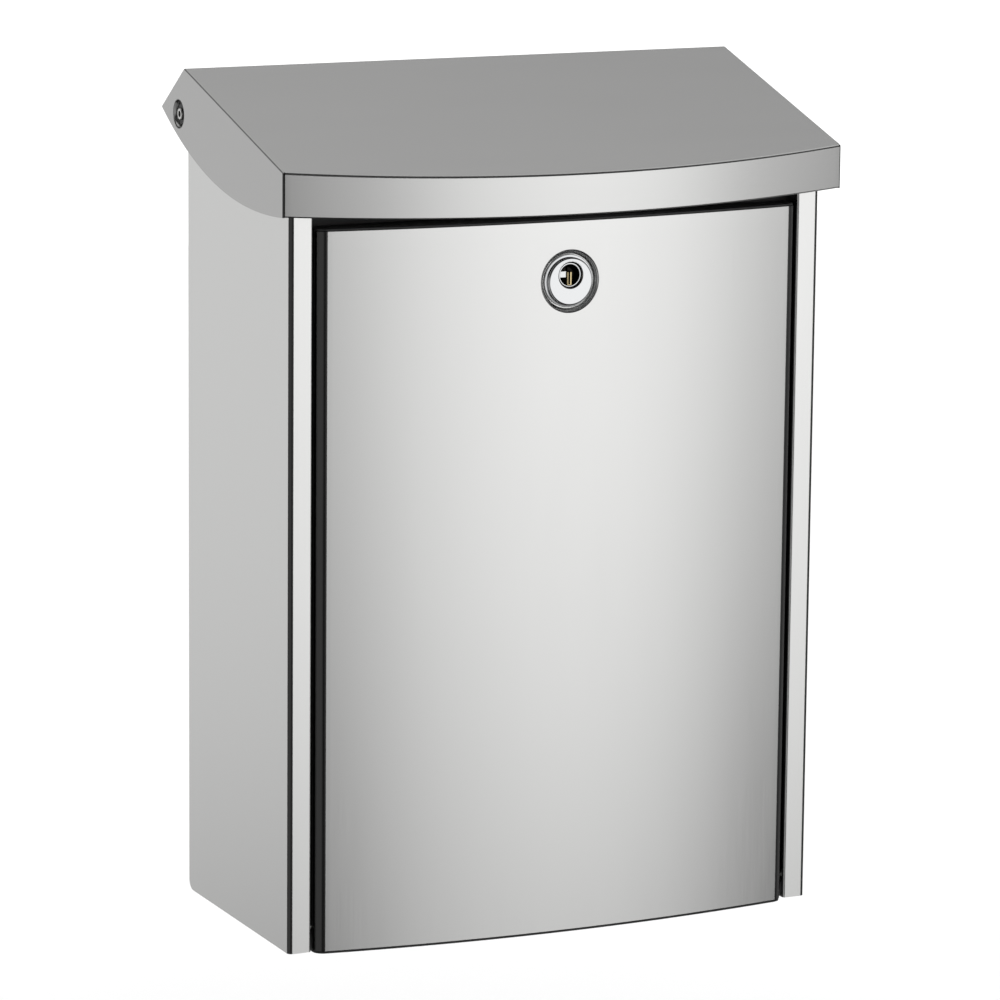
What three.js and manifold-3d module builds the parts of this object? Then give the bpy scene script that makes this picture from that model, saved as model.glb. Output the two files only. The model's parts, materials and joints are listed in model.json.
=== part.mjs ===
// Wall mounted mailbox: a sheet steel housing with a hinged rain hood, and a
// bowed, bottom-hinged door with a cam lock. Millimetres, +Z up, front faces -Y.
import * as THREE from 'three';
import { mergeVertices } from 'three/addons/utils/BufferGeometryUtils.js';
import Module from 'manifold-3d';

const wasm = await Module();
wasm.setup();

// ---------------------------------------------------------------- driving sizes
const SHEET = 1; // steel sheet of housing and hood
const FIT = 0.3; // gap between pieces that rest on each other

const BODY_WIDTH = 276;
const BODY_DEPTH = 129.5;
const PANEL_CORNER = 5; // round at the rear bottom corner of a side panel
const BEND = 2; // outer radius of the folded front edges
const FLANGE_WIDTH = 11.7; // front flange of a side panel, fold included
const LIP_DEPTH = 10; // return lip behind the front flange
const PANEL_TOP_GAP = 8.3; // side panel's top edge below the roof
const PANEL_CROWN_SETBACK = 14; // top edge's highest point ahead of the rear edge
const PANEL_REAR_RISE = 6.4; // rear edge's upper end above the hood pivot
const FOLD_RUN = 4; // straight stretch of side behind the front bend, in the folded piece

const DOOR_HEIGHT = 347.9;
const DOOR_DROP = 0.9; // door's lower edge below the side panels
const DOOR_SIDE_GAP = 1.4;
const DOOR_PROUD = 2; // door's side edge ahead of the front flanges
const DOOR_BOW = 9.7;
const DOOR_RIM_DEPTH = 10.5;
const SKIN_CORNER = 5.5; // round at the skin's upright edges
const SKIN_WRAP = 4; // skin wrapped back round the frame's sides, behind the door's edge
const RIM_END_LIP = 0.85; // frame's lip above and below the skin
const RIM_WALL = 5; // wall of the frame behind the skin
const FRAME_WEB = 2; // flat panel at the back of the door frame
const SKIN = 0.8;

const PIN_RADIUS = 2;
const PIN_WALL = 0.4; // frame between the skin's edge and a pin's seat
const PIN_HEIGHT = 12; // pin axis above the door's lower edge
const PIN_CLEARANCE = 0.2;
const PIN_SEAT = 6; // how far a hinge pin reaches into the frame
const FLOOR_CLEARANCE = 1.75;

const HOOD_OVERHANG = 8.6; // fascia's ends ahead of the front flanges
const CHEEK_GAP = 6; // hood cheek to side panel
const FASCIA_BOW = 17;
const HOOD_CORNER = 1.2; // round at the fascia's upright corners
const FASCIA_HEIGHT = 20.9;
const FASCIA_FOOT_GAP = 7.2; // fascia's ends above the door's top
const FASCIA_FOOT_SLOPE = 0.21; // fall of the fascia's lower edge per mm forward
const HEM = 5; // return under the fascia
const ROOF_SLOPE = 15.45; // degrees
const APEX_SETBACK = 12.6; // ridge ahead of the panels' rear edge
const BACK_RUN = 30.1; // hood's back flange, horizontally
const BACK_DROP = 21.6; // hood's back flange, vertically
const CHEEK_SAG = new THREE.Vector2(-50, -8.2); // pull point of the cheeks' lower edge
const PIVOT_INSET = 5.3; // hood pivot ahead of the panels' rear edge
const PIVOT_DROP = 22.9; // hood pivot below the ridge
const WALL_CLEARANCE = 1.3; // swinging hood to the wall

const DIMPLE_RADIUS = 7.5;
const DIMPLE_FLOOR_RADIUS = 5.6;
const DIMPLE_DEPTH = 2.5;
const BUSH_RADIUS = 3.7;
const BUSH_HEAD_RADIUS = 5.1;
const BUSH_HEAD = 0.8;
const WASHER_RADIUS = 7;
const RIVET_RADIUS = 2.3;
const RIVET_HEAD_RADIUS = 2.9;
const RIVET_TAIL_RADIUS = 4.3;
const RIVET_HEAD = 0.7;
const RIVET_CHAMFER = 0.4;
const RIVET_HOLE_RADIUS = 1.4;

const FLOOR_HEIGHT = 2; // floor's underside above the panels' lower edge
const TRAY_LIP = 10;
const BACK_LIP = 12;
const DRAIN_RADIUS = 3;
const DRAIN_COUNT = 4;
const BAR_RISE = 5; // crossbar's top above the door's top
const BAR_SHELF = 14; // crossbar's top shelf, front to back
const BAR_SHELF_FALL = 4;
const BAR_TAB = 12;
const BAR_BEND = 0.5;

const SPACER_RADIUS = 11;
const SCREW_HOLE_RADIUS = 3.25;
const SPACER_SPREAD_X = 150;
const SPACER_SPREAD_Z = 220;
const SPACER_LOW = 80; // lower spacers above the panels' lower edge

const BUFFER_RADIUS = 4;
const BUFFER_THICK = 1.4;
const BUFFER_SPREAD = 200;
const BUFFER_DROP = 6; // door buffers below the door's top
const PAD_LENGTH = 12;
const PAD_WIDTH = 5;
const PAD_GRIP = 5; // how far a hood pad reaches down its panel
const PAD_SETBACK = 10;

const LOCK_DROP = 29.8; // lock's centre below the door's top
const PLUG_OFFSET = 3; // plug's axis above the lock's centre
const RECESS_RADIUS = 14.7;
const RECESS_FLOOR_RADIUS = 13.3;
const RECESS_DEPTH = 2.6;
const ROSE_RADIUS = 12.6;
const ROSE_THICK = 0.8;
const FACE_RADIUS = 11.5;
const FACE_PROUD = 0.8; // lock's face ahead of the door skin
const FACE_CHAMFER = 1;
const BARREL_RADIUS = 9;
const BORE_RADIUS = 6;
const MOUTH_RADIUS = 6.5;
const PLUG_SETBACK = 0.9;
const KEYWAY = { width: 1.8, height: 8, depth: 6, drop: 0.6 };
const DISH = { rim: 4.5, floor: 2, depth: 1.2 }; // hollow in the plug's front
const BOSS_RADIUS = 15;
const NUT_FLATS = 22;
const NUT_THICK = 3.5;
const BARREL_TAIL = 2; // barrel behind the nut
const CAM_THICK = 2;
const CAM_WIDTH = 14;
const CAM_CHAMFER = { run: 3, rise: 2 }; // cut corners at the cam's tip
const CAM_OVERLAP = 10; // cam behind the crossbar when locked
const BAR_CLEARANCE = 2.8; // lock nut to the crossbar
const TAIL_SIDE = 7; // square tail of the plug
const SCREW_RADIUS = 2;
const SCREW_HEAD_RADIUS = 4;
const SCREW_HEAD = 2;
const SCREW_CHAMFER = 0.8;
const SCREW_LENGTH = 8;

// -------------------------------------------------------------- derived places
const tilt = THREE.MathUtils.degToRad(ROOF_SLOPE);
const bodyHalf = BODY_WIDTH / 2;
const swing = Math.max(
  Math.hypot(APEX_SETBACK - PIVOT_INSET, PIVOT_DROP),
  Math.hypot(BACK_RUN - APEX_SETBACK + PIVOT_INSET, PIVOT_DROP - BACK_DROP),
);
const rearY = -(swing - PIVOT_INSET + WALL_CLEARANCE); // side panels' rear edge
const frontY = rearY - BODY_DEPTH; // front flanges

const doorTop = DOOR_HEIGHT - DOOR_DROP;
const doorHalf = bodyHalf - FLANGE_WIDTH - DOOR_SIDE_GAP;
const doorEdgeY = frontY - DOOR_PROUD;
const doorRearY = doorEdgeY + DOOR_RIM_DEPTH;
const doorMidY = doorEdgeY - DOOR_BOW;
const skinBackY = doorEdgeY + SKIN_WRAP;
const pin = new THREE.Vector2(skinBackY + 2 * FIT + PIN_WALL + PIN_RADIUS, PIN_HEIGHT - DOOR_DROP);

const hoodHalf = bodyHalf + CHEEK_GAP + SHEET;
const fasciaEndY = frontY - HOOD_OVERHANG;
const fasciaFootZ = doorTop + FASCIA_FOOT_GAP;
const fasciaTopZ = fasciaFootZ + FASCIA_HEIGHT;
const apexY = rearY - APEX_SETBACK;
const apexZ = fasciaTopZ + (apexY - fasciaEndY) * Math.tan(tilt);
const apex = new THREE.Vector2(apexY, apexZ);
const heel = new THREE.Vector2(apexY + BACK_RUN, apexZ - BACK_DROP);
const pivot = new THREE.Vector2(rearY - PIVOT_INSET, apexZ - PIVOT_DROP);
const roofZ = (y) => apexZ + (y - apexY) * Math.tan(tilt);
const roofUnderZ = (y) => roofZ(y) - SHEET / Math.cos(tilt);
const footZ = (y) => fasciaFootZ - (fasciaEndY - y) * FASCIA_FOOT_SLOPE;

const plugZ = doorTop - LOCK_DROP + PLUG_OFFSET;
const lockZ = doorTop - LOCK_DROP;
const backFaceY = rearY - SHEET - FIT; // back plate's rear face
const trayFrontY = pin.x + Math.hypot(doorRearY - pin.x, PIN_HEIGHT) + FLOOR_CLEARANCE;
const barFrontY = Math.max(doorRearY + BUFFER_THICK + 2 * FIT, frontY + LIP_DEPTH + FIT);
const barTopZ = doorTop + BAR_RISE;
const barFootZ = plugZ + NUT_FLATS / 2 + BAR_CLEARANCE;
const spacerTopZ = SPACER_LOW + SPACER_SPREAD_Z;
const originZ = (SPACER_LOW + spacerTopZ) / 2;

// ------------------------------------------------------------------ solid tools
const ARC_STEPS = 12;
const ROUND_STEPS = 24;
const SMALL_STEPS = 20; // round steps of pins and screws
const FAR = 10; // how far a cutting solid runs past what it cuts
const LAP = 1; // how far joined solids run into each other
const HAIR = 1e-3; // keeps two cutting faces from lying on each other

function signedVolume(positions, index) {
  const a = new THREE.Vector3();
  const b = new THREE.Vector3();
  const c = new THREE.Vector3();
  let volume = 0;
  for (let i = 0; i < index.length; i += 3) {
    a.fromArray(positions, index[i] * 3);
    b.fromArray(positions, index[i + 1] * 3);
    c.fromArray(positions, index[i + 2] * 3);
    volume += a.dot(b.cross(c)) / 6;
  }
  return volume;
}

// A closed three.js geometry as a manifold solid, faces turned outward.
function solid(geometry) {
  const bare = geometry.clone();
  bare.deleteAttribute('normal');
  bare.deleteAttribute('uv');
  const merged = mergeVertices(bare, 1e-4);
  const vertProperties = new Float32Array(merged.attributes.position.array);
  const triVerts = new Uint32Array(merged.index.array);
  if (signedVolume(vertProperties, triVerts) < 0) {
    for (let i = 0; i < triVerts.length; i += 3) {
      [triVerts[i], triVerts[i + 1]] = [triVerts[i + 1], triVerts[i]];
    }
  }
  return new wasm.Manifold(new wasm.Mesh({ numProp: 3, vertProperties, triVerts }));
}

function geometryOf(body) {
  const mesh = body.getMesh();
  const geometry = new THREE.BufferGeometry();
  const positions = new Float32Array(mesh.vertProperties);
  geometry.setAttribute('position', new THREE.BufferAttribute(positions, 3));
  geometry.setIndex(new THREE.BufferAttribute(new Uint32Array(mesh.triVerts), 1));
  geometry.computeVertexNormals();
  return geometry;
}

function extruded(shape, depth, basis, offset) {
  const options = { depth, bevelEnabled: false, steps: 1, curveSegments: ARC_STEPS };
  const geometry = new THREE.ExtrudeGeometry(shape, options);
  geometry.applyMatrix4(basis);
  geometry.translate(offset.x, offset.y, offset.z);
  return solid(geometry);
}

const X = new THREE.Vector3(1, 0, 0);
const Y = new THREE.Vector3(0, 1, 0);
const Z = new THREE.Vector3(0, 0, 1);
const sideBasis = new THREE.Matrix4().makeBasis(Y, Z, X);
const planBasis = new THREE.Matrix4();
const frontBasis = new THREE.Matrix4().makeBasis(X, Z, Y.clone().negate());

// Outlines drawn in (y, z), (x, y) and (x, z), pushed along x, z and y.
const fromSide = (shape, x0, x1) => extruded(shape, x1 - x0, sideBasis, new THREE.Vector3(x0, 0, 0));
const fromAbove = (shape, z0, z1) => extruded(shape, z1 - z0, planBasis, new THREE.Vector3(0, 0, z0));
const fromFront = (shape, y0, y1) => extruded(shape, y1 - y0, frontBasis, new THREE.Vector3(0, y1, 0));

function outline(points) {
  return new THREE.Shape(points.map(([u, v]) => new THREE.Vector2(u, v)));
}

function block(x0, x1, y0, y1, z0, z1) {
  const geometry = new THREE.BoxGeometry(x1 - x0, y1 - y0, z1 - z0);
  geometry.translate((x0 + x1) / 2, (y0 + y1) / 2, (z0 + z1) / 2);
  return solid(geometry);
}

// A turned piece: profile of [radius, distance along the axis].
function turned(profile, steps = ROUND_STEPS) {
  return new THREE.LatheGeometry(profile.map(([r, h]) => new THREE.Vector2(r, h)), steps);
}

// Turned about a line along x through (y, z); distance along the axis is x.
function turnedX(profile, y, z, steps) {
  const geometry = turned(profile, steps);
  geometry.rotateZ(-Math.PI / 2);
  geometry.translate(0, y, z);
  return solid(geometry);
}

// Turned about a line along y through (x, z); distance along the axis is y.
function turnedY(profile, x, z, steps) {
  const geometry = turned(profile, steps);
  geometry.translate(x, 0, z);
  return solid(geometry);
}

const rod = (radius, from, to) => [[0, from], [radius, from], [radius, to], [0, to]];
const taper = (r0, from, r1, to) => [[0, from], [r0, from], [r1, to], [0, to]];
const tube = (inner, outer, from, to) => [
  [inner, from], [outer, from], [outer, to], [inner, to], [inner, from],
];

function mirrored(body) {
  const geometry = geometryOf(body);
  geometry.scale(-1, 1, 1);
  return solid(geometry);
}

// Area behind a front that bows forward, with rounded front corners and a straight back.
// Unrounded, its ends are at (+-half, endY) and its middle is ahead by bow.
// The front and the corners move back by inset, and the sides by sideInset.
function bowedPlan({ half, endY, bow, corner }, inset, backY, sideInset = inset) {
  const radius = (half * half + bow * bow) / (2 * bow);
  const centreY = endY - bow + radius;
  const cornerX = half - corner;
  const angle = Math.asin(cornerX / (radius - corner));
  const cornerY = centreY - (radius - corner) * Math.cos(angle);
  const down = 1.5 * Math.PI;
  const shape = new THREE.Shape();
  if (sideInset === inset && corner > inset) {
    shape.moveTo(half - inset, backY);
    shape.lineTo(inset - half, backY);
    shape.absarc(-cornerX, cornerY, corner - inset, Math.PI, down - angle, false);
    shape.absarc(0, centreY, radius - inset, down - angle, down + angle, false);
    shape.absarc(cornerX, cornerY, corner - inset, down + angle, 2 * Math.PI, false);
  } else {
    const end = Math.asin((half - sideInset) / (radius - inset));
    shape.moveTo(half - sideInset, backY);
    shape.lineTo(sideInset - half, backY);
    shape.absarc(0, centreY, radius - inset, down - end, down + end, false);
  }
  shape.closePath();
  return shape;
}

// ------------------------------------------------------------------- materials
function paint(color, roughness, metalness) {
  return new THREE.MeshStandardMaterial({ color, roughness, metalness });
}

const steel = () => paint(0xc9cacb, 0.38, 1);
const chrome = () => paint(0xe6e7e8, 0.08, 1);
const brass = () => paint(0xb9a06a, 0.3, 1);
const zinc = () => paint(0xa9adb0, 0.45, 1);
const blackPlastic = () => paint(0x151515, 0.55, 0);
const blackPaint = () => paint(0x1a1a1b, 0.5, 0);
const rubber = () => paint(0x101010, 0.85, 0);

// --------------------------------------------------------------------- housing
function sidePanel() {
  const foldBackY = frontY + BEND + FOLD_RUN;
  const crownY = rearY - PANEL_CROWN_SETBACK;
  const topZ = (y) => roofUnderZ(y) - PANEL_TOP_GAP;
  const plate = new THREE.Shape();
  plate.moveTo(foldBackY - LAP, 0);
  plate.lineTo(rearY - PANEL_CORNER, 0);
  plate.absarc(rearY - PANEL_CORNER, PANEL_CORNER, PANEL_CORNER, -Math.PI / 2, 0, false);
  plate.lineTo(rearY, pivot.y + PANEL_REAR_RISE);
  plate.lineTo(crownY, topZ(crownY));
  plate.lineTo(foldBackY - LAP, topZ(foldBackY - LAP));
  plate.closePath();

  const lipX = bodyHalf - FLANGE_WIDTH;
  const fold = new THREE.Shape();
  fold.moveTo(bodyHalf, foldBackY);
  fold.lineTo(bodyHalf - SHEET, foldBackY);
  fold.lineTo(bodyHalf - SHEET, frontY + BEND);
  fold.absarc(bodyHalf - BEND, frontY + BEND, BEND - SHEET, 0, -Math.PI / 2, true);
  fold.lineTo(lipX + SHEET, frontY + SHEET);
  fold.lineTo(lipX + SHEET, frontY + LIP_DEPTH);
  fold.lineTo(lipX, frontY + LIP_DEPTH);
  fold.lineTo(lipX, frontY);
  fold.lineTo(bodyHalf - BEND, frontY);
  fold.absarc(bodyHalf - BEND, frontY + BEND, BEND, -Math.PI / 2, 0, false);
  fold.closePath();

  const pivotHole = rod(RIVET_RADIUS + FIT, bodyHalf - FAR, bodyHalf + FAR);
  const pinHole = rod(PIN_RADIUS + PIN_CLEARANCE, lipX - FAR / 2, lipX + FAR / 2);
  return fromSide(plate, bodyHalf - SHEET, bodyHalf)
    .add(fromAbove(fold, 0, topZ(frontY)))
    .subtract(turnedX(pivotHole, pivot.x, pivot.y))
    .subtract(turnedX(pinHole, pin.x, pin.y));
}

function spacerPlaces() {
  return [-1, 1].flatMap((side) => [
    { x: side * SPACER_SPREAD_X / 2, z: SPACER_LOW },
    { x: side * SPACER_SPREAD_X / 2, z: spacerTopZ },
  ]);
}

function backPlate() {
  const half = bodyHalf - SHEET - FIT;
  const topZ = pivot.y - RIVET_TAIL_RADIUS - SHEET;
  const lipFootZ = FLOOR_HEIGHT + TRAY_LIP + SHEET;
  let plate = block(-half, half, backFaceY - SHEET, backFaceY, FLOOR_HEIGHT, topZ);
  for (const x of [-half, half - SHEET]) {
    plate = plate.add(block(x, x + SHEET, backFaceY - BACK_LIP, backFaceY, lipFootZ, topZ));
  }
  for (const { x, z } of spacerPlaces()) {
    plate = plate.subtract(turnedY(rod(SCREW_HOLE_RADIUS, backFaceY - FAR, backFaceY + FAR), x, z));
  }
  return plate;
}

function floorTray() {
  const half = bodyHalf - SHEET - FIT;
  const backY = backFaceY - SHEET - FIT;
  const topZ = FLOOR_HEIGHT + TRAY_LIP;
  const shell = block(-half, half, trayFrontY, backY, FLOOR_HEIGHT, topZ);
  const roomHalf = half - SHEET;
  const room = block(-roomHalf, roomHalf, trayFrontY - FAR, backY - SHEET,
    FLOOR_HEIGHT + SHEET, topZ + FAR);
  let tray = shell.subtract(room);
  const midY = (trayFrontY + backY) / 2;
  for (let i = 0; i < DRAIN_COUNT; i += 1) {
    const x = half * (2 * (i + 0.5) / DRAIN_COUNT - 1);
    const hole = new THREE.CylinderGeometry(DRAIN_RADIUS, DRAIN_RADIUS, 4 * SHEET, ROUND_STEPS);
    hole.rotateX(Math.PI / 2);
    hole.translate(x, midY, FLOOR_HEIGHT);
    tray = tray.subtract(solid(hole));
  }
  return tray;
}

// Bar behind the door's top: strike for the lock's cam and sill of the letter slot.
function slotCrossbar() {
  const half = bodyHalf - SHEET - FIT;
  const shelfBackY = barFrontY + BAR_SHELF;
  const bar = outline([
    [barFrontY, barFootZ],
    [barFrontY + SHEET, barFootZ],
    [barFrontY + SHEET, barTopZ - SHEET - BAR_BEND],
    [shelfBackY, barTopZ - BAR_SHELF_FALL - SHEET],
    [shelfBackY, barTopZ - BAR_SHELF_FALL],
    [barFrontY, barTopZ],
  ]);
  const tabBackY = barFrontY + BAR_TAB;
  const tabTopZ = barTopZ - BAR_SHELF_FALL - SHEET / 2;
  const tab = (x) => block(x, x + SHEET, barFrontY, tabBackY, barFootZ, tabTopZ);
  return fromSide(bar, -half, half).add(tab(-half)).add(tab(half - SHEET));
}

const wallSpacer = ({ x, z }) => turnedY(
  tube(SCREW_HOLE_RADIUS, SPACER_RADIUS, backFaceY + FIT, 0), x, z);

// Rubber pad pushed on a side panel's top edge: the closed hood rests on it.
function hoodPad() {
  const y1 = frontY + LIP_DEPTH + PAD_SETBACK + PAD_LENGTH;
  const y0 = y1 - PAD_LENGTH;
  const topZ = (y) => roofUnderZ(y) - FIT;
  const edgeZ = (y) => roofUnderZ(y) - PANEL_TOP_GAP;
  const middle = bodyHalf - SHEET / 2;
  const footZ = (y) => edgeZ(y) - PAD_GRIP;
  const pad = outline([[y0, footZ(y0)], [y1, footZ(y1)], [y1, topZ(y1)], [y0, topZ(y0)]]);
  const slotY = [y0 - FAR, y1 + FAR];
  const slotTop = (y) => edgeZ(y) + FIT;
  const slot = outline([
    [slotY[0], 0], [slotY[1], 0], [slotY[1], slotTop(slotY[1])], [slotY[0], slotTop(slotY[0])],
  ]);
  const slotHalf = SHEET / 2 + FIT;
  return fromSide(pad, middle - PAD_WIDTH / 2, middle + PAD_WIDTH / 2)
    .subtract(fromSide(slot, middle - slotHalf, middle + slotHalf));
}

const doorBuffer = (side) => turnedY(
  rod(BUFFER_RADIUS, barFrontY - FIT - BUFFER_THICK, barFrontY - FIT),
  side * BUFFER_SPREAD / 2, doorTop - BUFFER_DROP);

// ---------------------------------------------------------------- hood's pivots
const dimpleFloorX = hoodHalf - DIMPLE_DEPTH; // outer face of the pressed dimple's floor
const washerOuterX = dimpleFloorX - SHEET - FIT;
const bushInnerX = bodyHalf + FIT;
const bushHeadX = dimpleFloorX + FIT;
const rivetBore = RIVET_RADIUS + FIT;

function hoodBush() {
  return turnedX([
    [rivetBore, bushInnerX], [BUSH_RADIUS, bushInnerX], [BUSH_RADIUS, bushHeadX],
    [BUSH_HEAD_RADIUS, bushHeadX], [BUSH_HEAD_RADIUS, bushHeadX + BUSH_HEAD],
    [rivetBore, bushHeadX + BUSH_HEAD], [rivetBore, bushInnerX],
  ], pivot.x, pivot.y);
}

const hoodWasher = () => turnedX(
  tube(BUSH_RADIUS + FIT, WASHER_RADIUS, bodyHalf + FIT, washerOuterX), pivot.x, pivot.y);

function hoodRivet() {
  const headX = bushHeadX + BUSH_HEAD + FIT;
  const tailX = bodyHalf - SHEET - FIT;
  return turnedX([
    [RIVET_HOLE_RADIUS, tailX - RIVET_HEAD], [RIVET_TAIL_RADIUS, tailX - RIVET_HEAD],
    [RIVET_TAIL_RADIUS, tailX], [RIVET_RADIUS, tailX], [RIVET_RADIUS, headX], [RIVET_HEAD_RADIUS, headX],
    [RIVET_HEAD_RADIUS - RIVET_CHAMFER, headX + RIVET_HEAD], [RIVET_HOLE_RADIUS, headX + RIVET_HEAD],
    [RIVET_HOLE_RADIUS, tailX - RIVET_HEAD],
  ], pivot.x, pivot.y);
}

// ------------------------------------------------------------------------ hood
function hoodShell() {
  const aheadY = fasciaEndY - FASCIA_BOW - FAR;
  const lowZ = fasciaFootZ - FASCIA_HEIGHT;
  const back = new THREE.Vector2(BACK_RUN, -BACK_DROP).normalize();
  const roofNormal = new THREE.Vector2(-Math.sin(tilt), Math.cos(tilt));
  const backNormal = new THREE.Vector2(-back.y, back.x);
  const inward = roofNormal.clone().add(backNormal).divideScalar(1 + roofNormal.dot(backNormal));
  const apexIn = apex.clone().addScaledVector(inward, -SHEET);
  const backFoot = apexIn.clone().addScaledVector(back, (apexIn.y - lowZ) / -back.y);

  const side = new THREE.Shape();
  side.moveTo(apex.x, apex.y);
  side.lineTo(aheadY, roofZ(aheadY));
  side.lineTo(aheadY, footZ(aheadY));
  side.lineTo(fasciaEndY, fasciaFootZ);
  side.quadraticCurveTo(rearY + CHEEK_SAG.x, fasciaFootZ + CHEEK_SAG.y, heel.x, heel.y);
  side.closePath();

  const hemBackY = fasciaEndY + 2 * HEM;
  const room = outline([
    [apexIn.x, apexIn.y],
    [backFoot.x, backFoot.y],
    [hemBackY, lowZ],
    [hemBackY, footZ(hemBackY) + SHEET],
    [aheadY, footZ(aheadY) + SHEET],
    [aheadY, roofUnderZ(aheadY)],
  ]);

  const front = { half: hoodHalf, endY: fasciaEndY, bow: FASCIA_BOW, corner: HOOD_CORNER };
  const topZ = apex.y + FAR;
  const outer = fromSide(side, -hoodHalf, hoodHalf)
    .intersect(fromAbove(bowedPlan(front, 0, 0), lowZ, topZ));
  const roomHalf = hoodHalf - SHEET;
  const inner = fromSide(room, -roomHalf, roomHalf)
    .intersect(fromAbove(bowedPlan(front, SHEET, backFoot.x + FAR), lowZ, topZ));
  const mouth = fromAbove(bowedPlan(front, SHEET + HEM, rearY, SHEET), lowZ, fasciaFootZ + HEM);

  const dimple = (grow, shift) => taper(
    DIMPLE_FLOOR_RADIUS + grow, dimpleFloorX - shift, DIMPLE_RADIUS + grow, hoodHalf - shift + HAIR);
  let shell = outer.subtract(inner).subtract(mouth);
  const bulge = turnedX(dimple(SHEET, SHEET), pivot.x, pivot.y);
  const hollow = turnedX(dimple(0, 0), pivot.x, pivot.y);
  const hole = turnedX(rod(BUSH_RADIUS + FIT, bodyHalf + SHEET, hoodHalf + FAR), pivot.x, pivot.y);
  for (const turn of [(body) => body, mirrored]) {
    shell = shell.add(turn(bulge)).subtract(turn(hollow)).subtract(turn(hole));
  }
  return shell;
}

// ------------------------------------------------------------------------ door
const doorFront = { half: doorHalf, endY: doorEdgeY, bow: DOOR_BOW, corner: SKIN_CORNER };
const recessY = doorMidY + RECESS_DEPTH; // outer face of the lock's recess
const skinFootZ = -DOOR_DROP + RIM_END_LIP + FIT;
const skinTopZ = doorTop - RIM_END_LIP - FIT;

function doorFrame() {
  const rim = fromAbove(bowedPlan(doorFront, 0, doorRearY), -DOOR_DROP, doorTop);
  const behindSkin = fromAbove(bowedPlan(doorFront, SKIN + FIT, doorRearY + FAR), -FAR, doorTop + FAR);
  const wrap = block(-doorHalf - FAR, doorHalf + FAR, doorMidY - FAR, skinBackY + FIT,
    skinFootZ - FIT, skinTopZ + FIT).subtract(behindSkin);
  const roomHalf = doorHalf - RIM_WALL;
  const room = block(-roomHalf, roomHalf, doorMidY - FAR, doorRearY - FRAME_WEB,
    skinFootZ + RIM_WALL, skinTopZ - RIM_WALL);
  const boss = rod(BOSS_RADIUS, recessY + SKIN + FIT, doorRearY - FRAME_WEB / 2);
  const bore = rod(BARREL_RADIUS + FIT, doorMidY - FAR, doorRearY + FAR);
  const sight = fromAbove(bowedPlan(doorFront, FIT, doorRearY), -FAR, doorTop + FAR);
  let frame = rim.intersect(sight)
    .add(rim.intersect(block(-doorHalf, doorHalf, skinBackY + FIT, doorRearY, -FAR, doorTop + FAR)))
    .subtract(wrap)
    .subtract(room)
    .add(turnedY(boss, 0, plugZ))
    .subtract(turnedY(bore, 0, plugZ));
  for (const x of [-doorHalf, doorHalf]) {
    const pinHole = rod(PIN_RADIUS + FIT, x - PIN_SEAT - FIT, x + PIN_SEAT + FIT);
    frame = frame.subtract(turnedX(pinHole, pin.x, pin.y));
  }
  return frame;
}

function doorSkin() {
  const sheet = fromAbove(bowedPlan(doorFront, 0, doorRearY), skinFootZ, skinTopZ)
    .subtract(fromAbove(bowedPlan(doorFront, SKIN, doorRearY + FAR), -FAR, doorTop + FAR))
    .subtract(block(-doorHalf - FAR, doorHalf + FAR, skinBackY, doorRearY + FAR, -FAR, doorTop + FAR));
  const bulge = rod(RECESS_RADIUS, doorMidY + SKIN / 2, recessY + SKIN);
  const dish = taper(RECESS_RADIUS, doorMidY, RECESS_FLOOR_RADIUS, recessY);
  const front = rod(RECESS_RADIUS, doorMidY - FAR, doorMidY);
  const hole = rod(BARREL_RADIUS + FIT, doorMidY - FAR, recessY + FAR);
  return sheet
    .add(turnedY(bulge, 0, lockZ))
    .subtract(turnedY(dish, 0, lockZ))
    .subtract(turnedY(front, 0, lockZ))
    .subtract(turnedY(hole, 0, plugZ));
}

// The right-hand pin: pressed into the frame's rim, turning in the panel's lip.
function hingePin() {
  const lipX = bodyHalf - FLANGE_WIDTH + SHEET;
  return turnedX(rod(PIN_RADIUS, doorHalf - PIN_SEAT, lipX + SHEET), pin.x, pin.y, SMALL_STEPS);
}

// ------------------------------------------------------------------------ lock
const roseBackY = recessY - FIT;
const roseFrontY = roseBackY - ROSE_THICK;
const faceY = doorMidY - FACE_PROUD;
const nutFrontY = doorRearY + FIT;
const nutBackY = nutFrontY + NUT_THICK;
const barrelBackY = nutBackY + BARREL_TAIL;
const camFrontY = barrelBackY + FIT;
const camBackY = camFrontY + CAM_THICK;
const plugFrontY = faceY + PLUG_SETBACK;
const plugRadius = BORE_RADIUS - FIT;

function lockBody() {
  const rose = rod(ROSE_RADIUS, roseFrontY, roseBackY);
  const face = [
    [0, faceY], [FACE_RADIUS - FACE_CHAMFER, faceY], [FACE_RADIUS, faceY + FACE_CHAMFER],
    [FACE_RADIUS, roseBackY], [0, roseBackY],
  ];
  const barrel = rod(BARREL_RADIUS, roseFrontY, barrelBackY);
  const bore = rod(BORE_RADIUS, faceY - FAR, barrelBackY + FAR);
  const flare = taper(MOUTH_RADIUS, faceY - HAIR, BORE_RADIUS, plugFrontY);
  return turnedY(rose, 0, lockZ)
    .add(turnedY(face, 0, lockZ))
    .add(turnedY(barrel, 0, plugZ))
    .subtract(turnedY(bore, 0, plugZ))
    .subtract(turnedY(flare, 0, plugZ));
}

// Hexagon nut on the barrel, flats up and down.
function lockNut() {
  const hexagon = new THREE.Shape();
  const corner = NUT_FLATS / Math.sqrt(3);
  for (let i = 0; i < 6; i += 1) {
    const angle = i * Math.PI / 3;
    const point = [corner * Math.cos(angle), plugZ + corner * Math.sin(angle)];
    if (i === 0) hexagon.moveTo(...point);
    else hexagon.lineTo(...point);
  }
  hexagon.closePath();
  const bore = rod(BARREL_RADIUS + FIT, nutFrontY - FAR, nutBackY + FAR);
  return fromFront(hexagon, nutFrontY, nutBackY).subtract(turnedY(bore, 0, plugZ));
}

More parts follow.
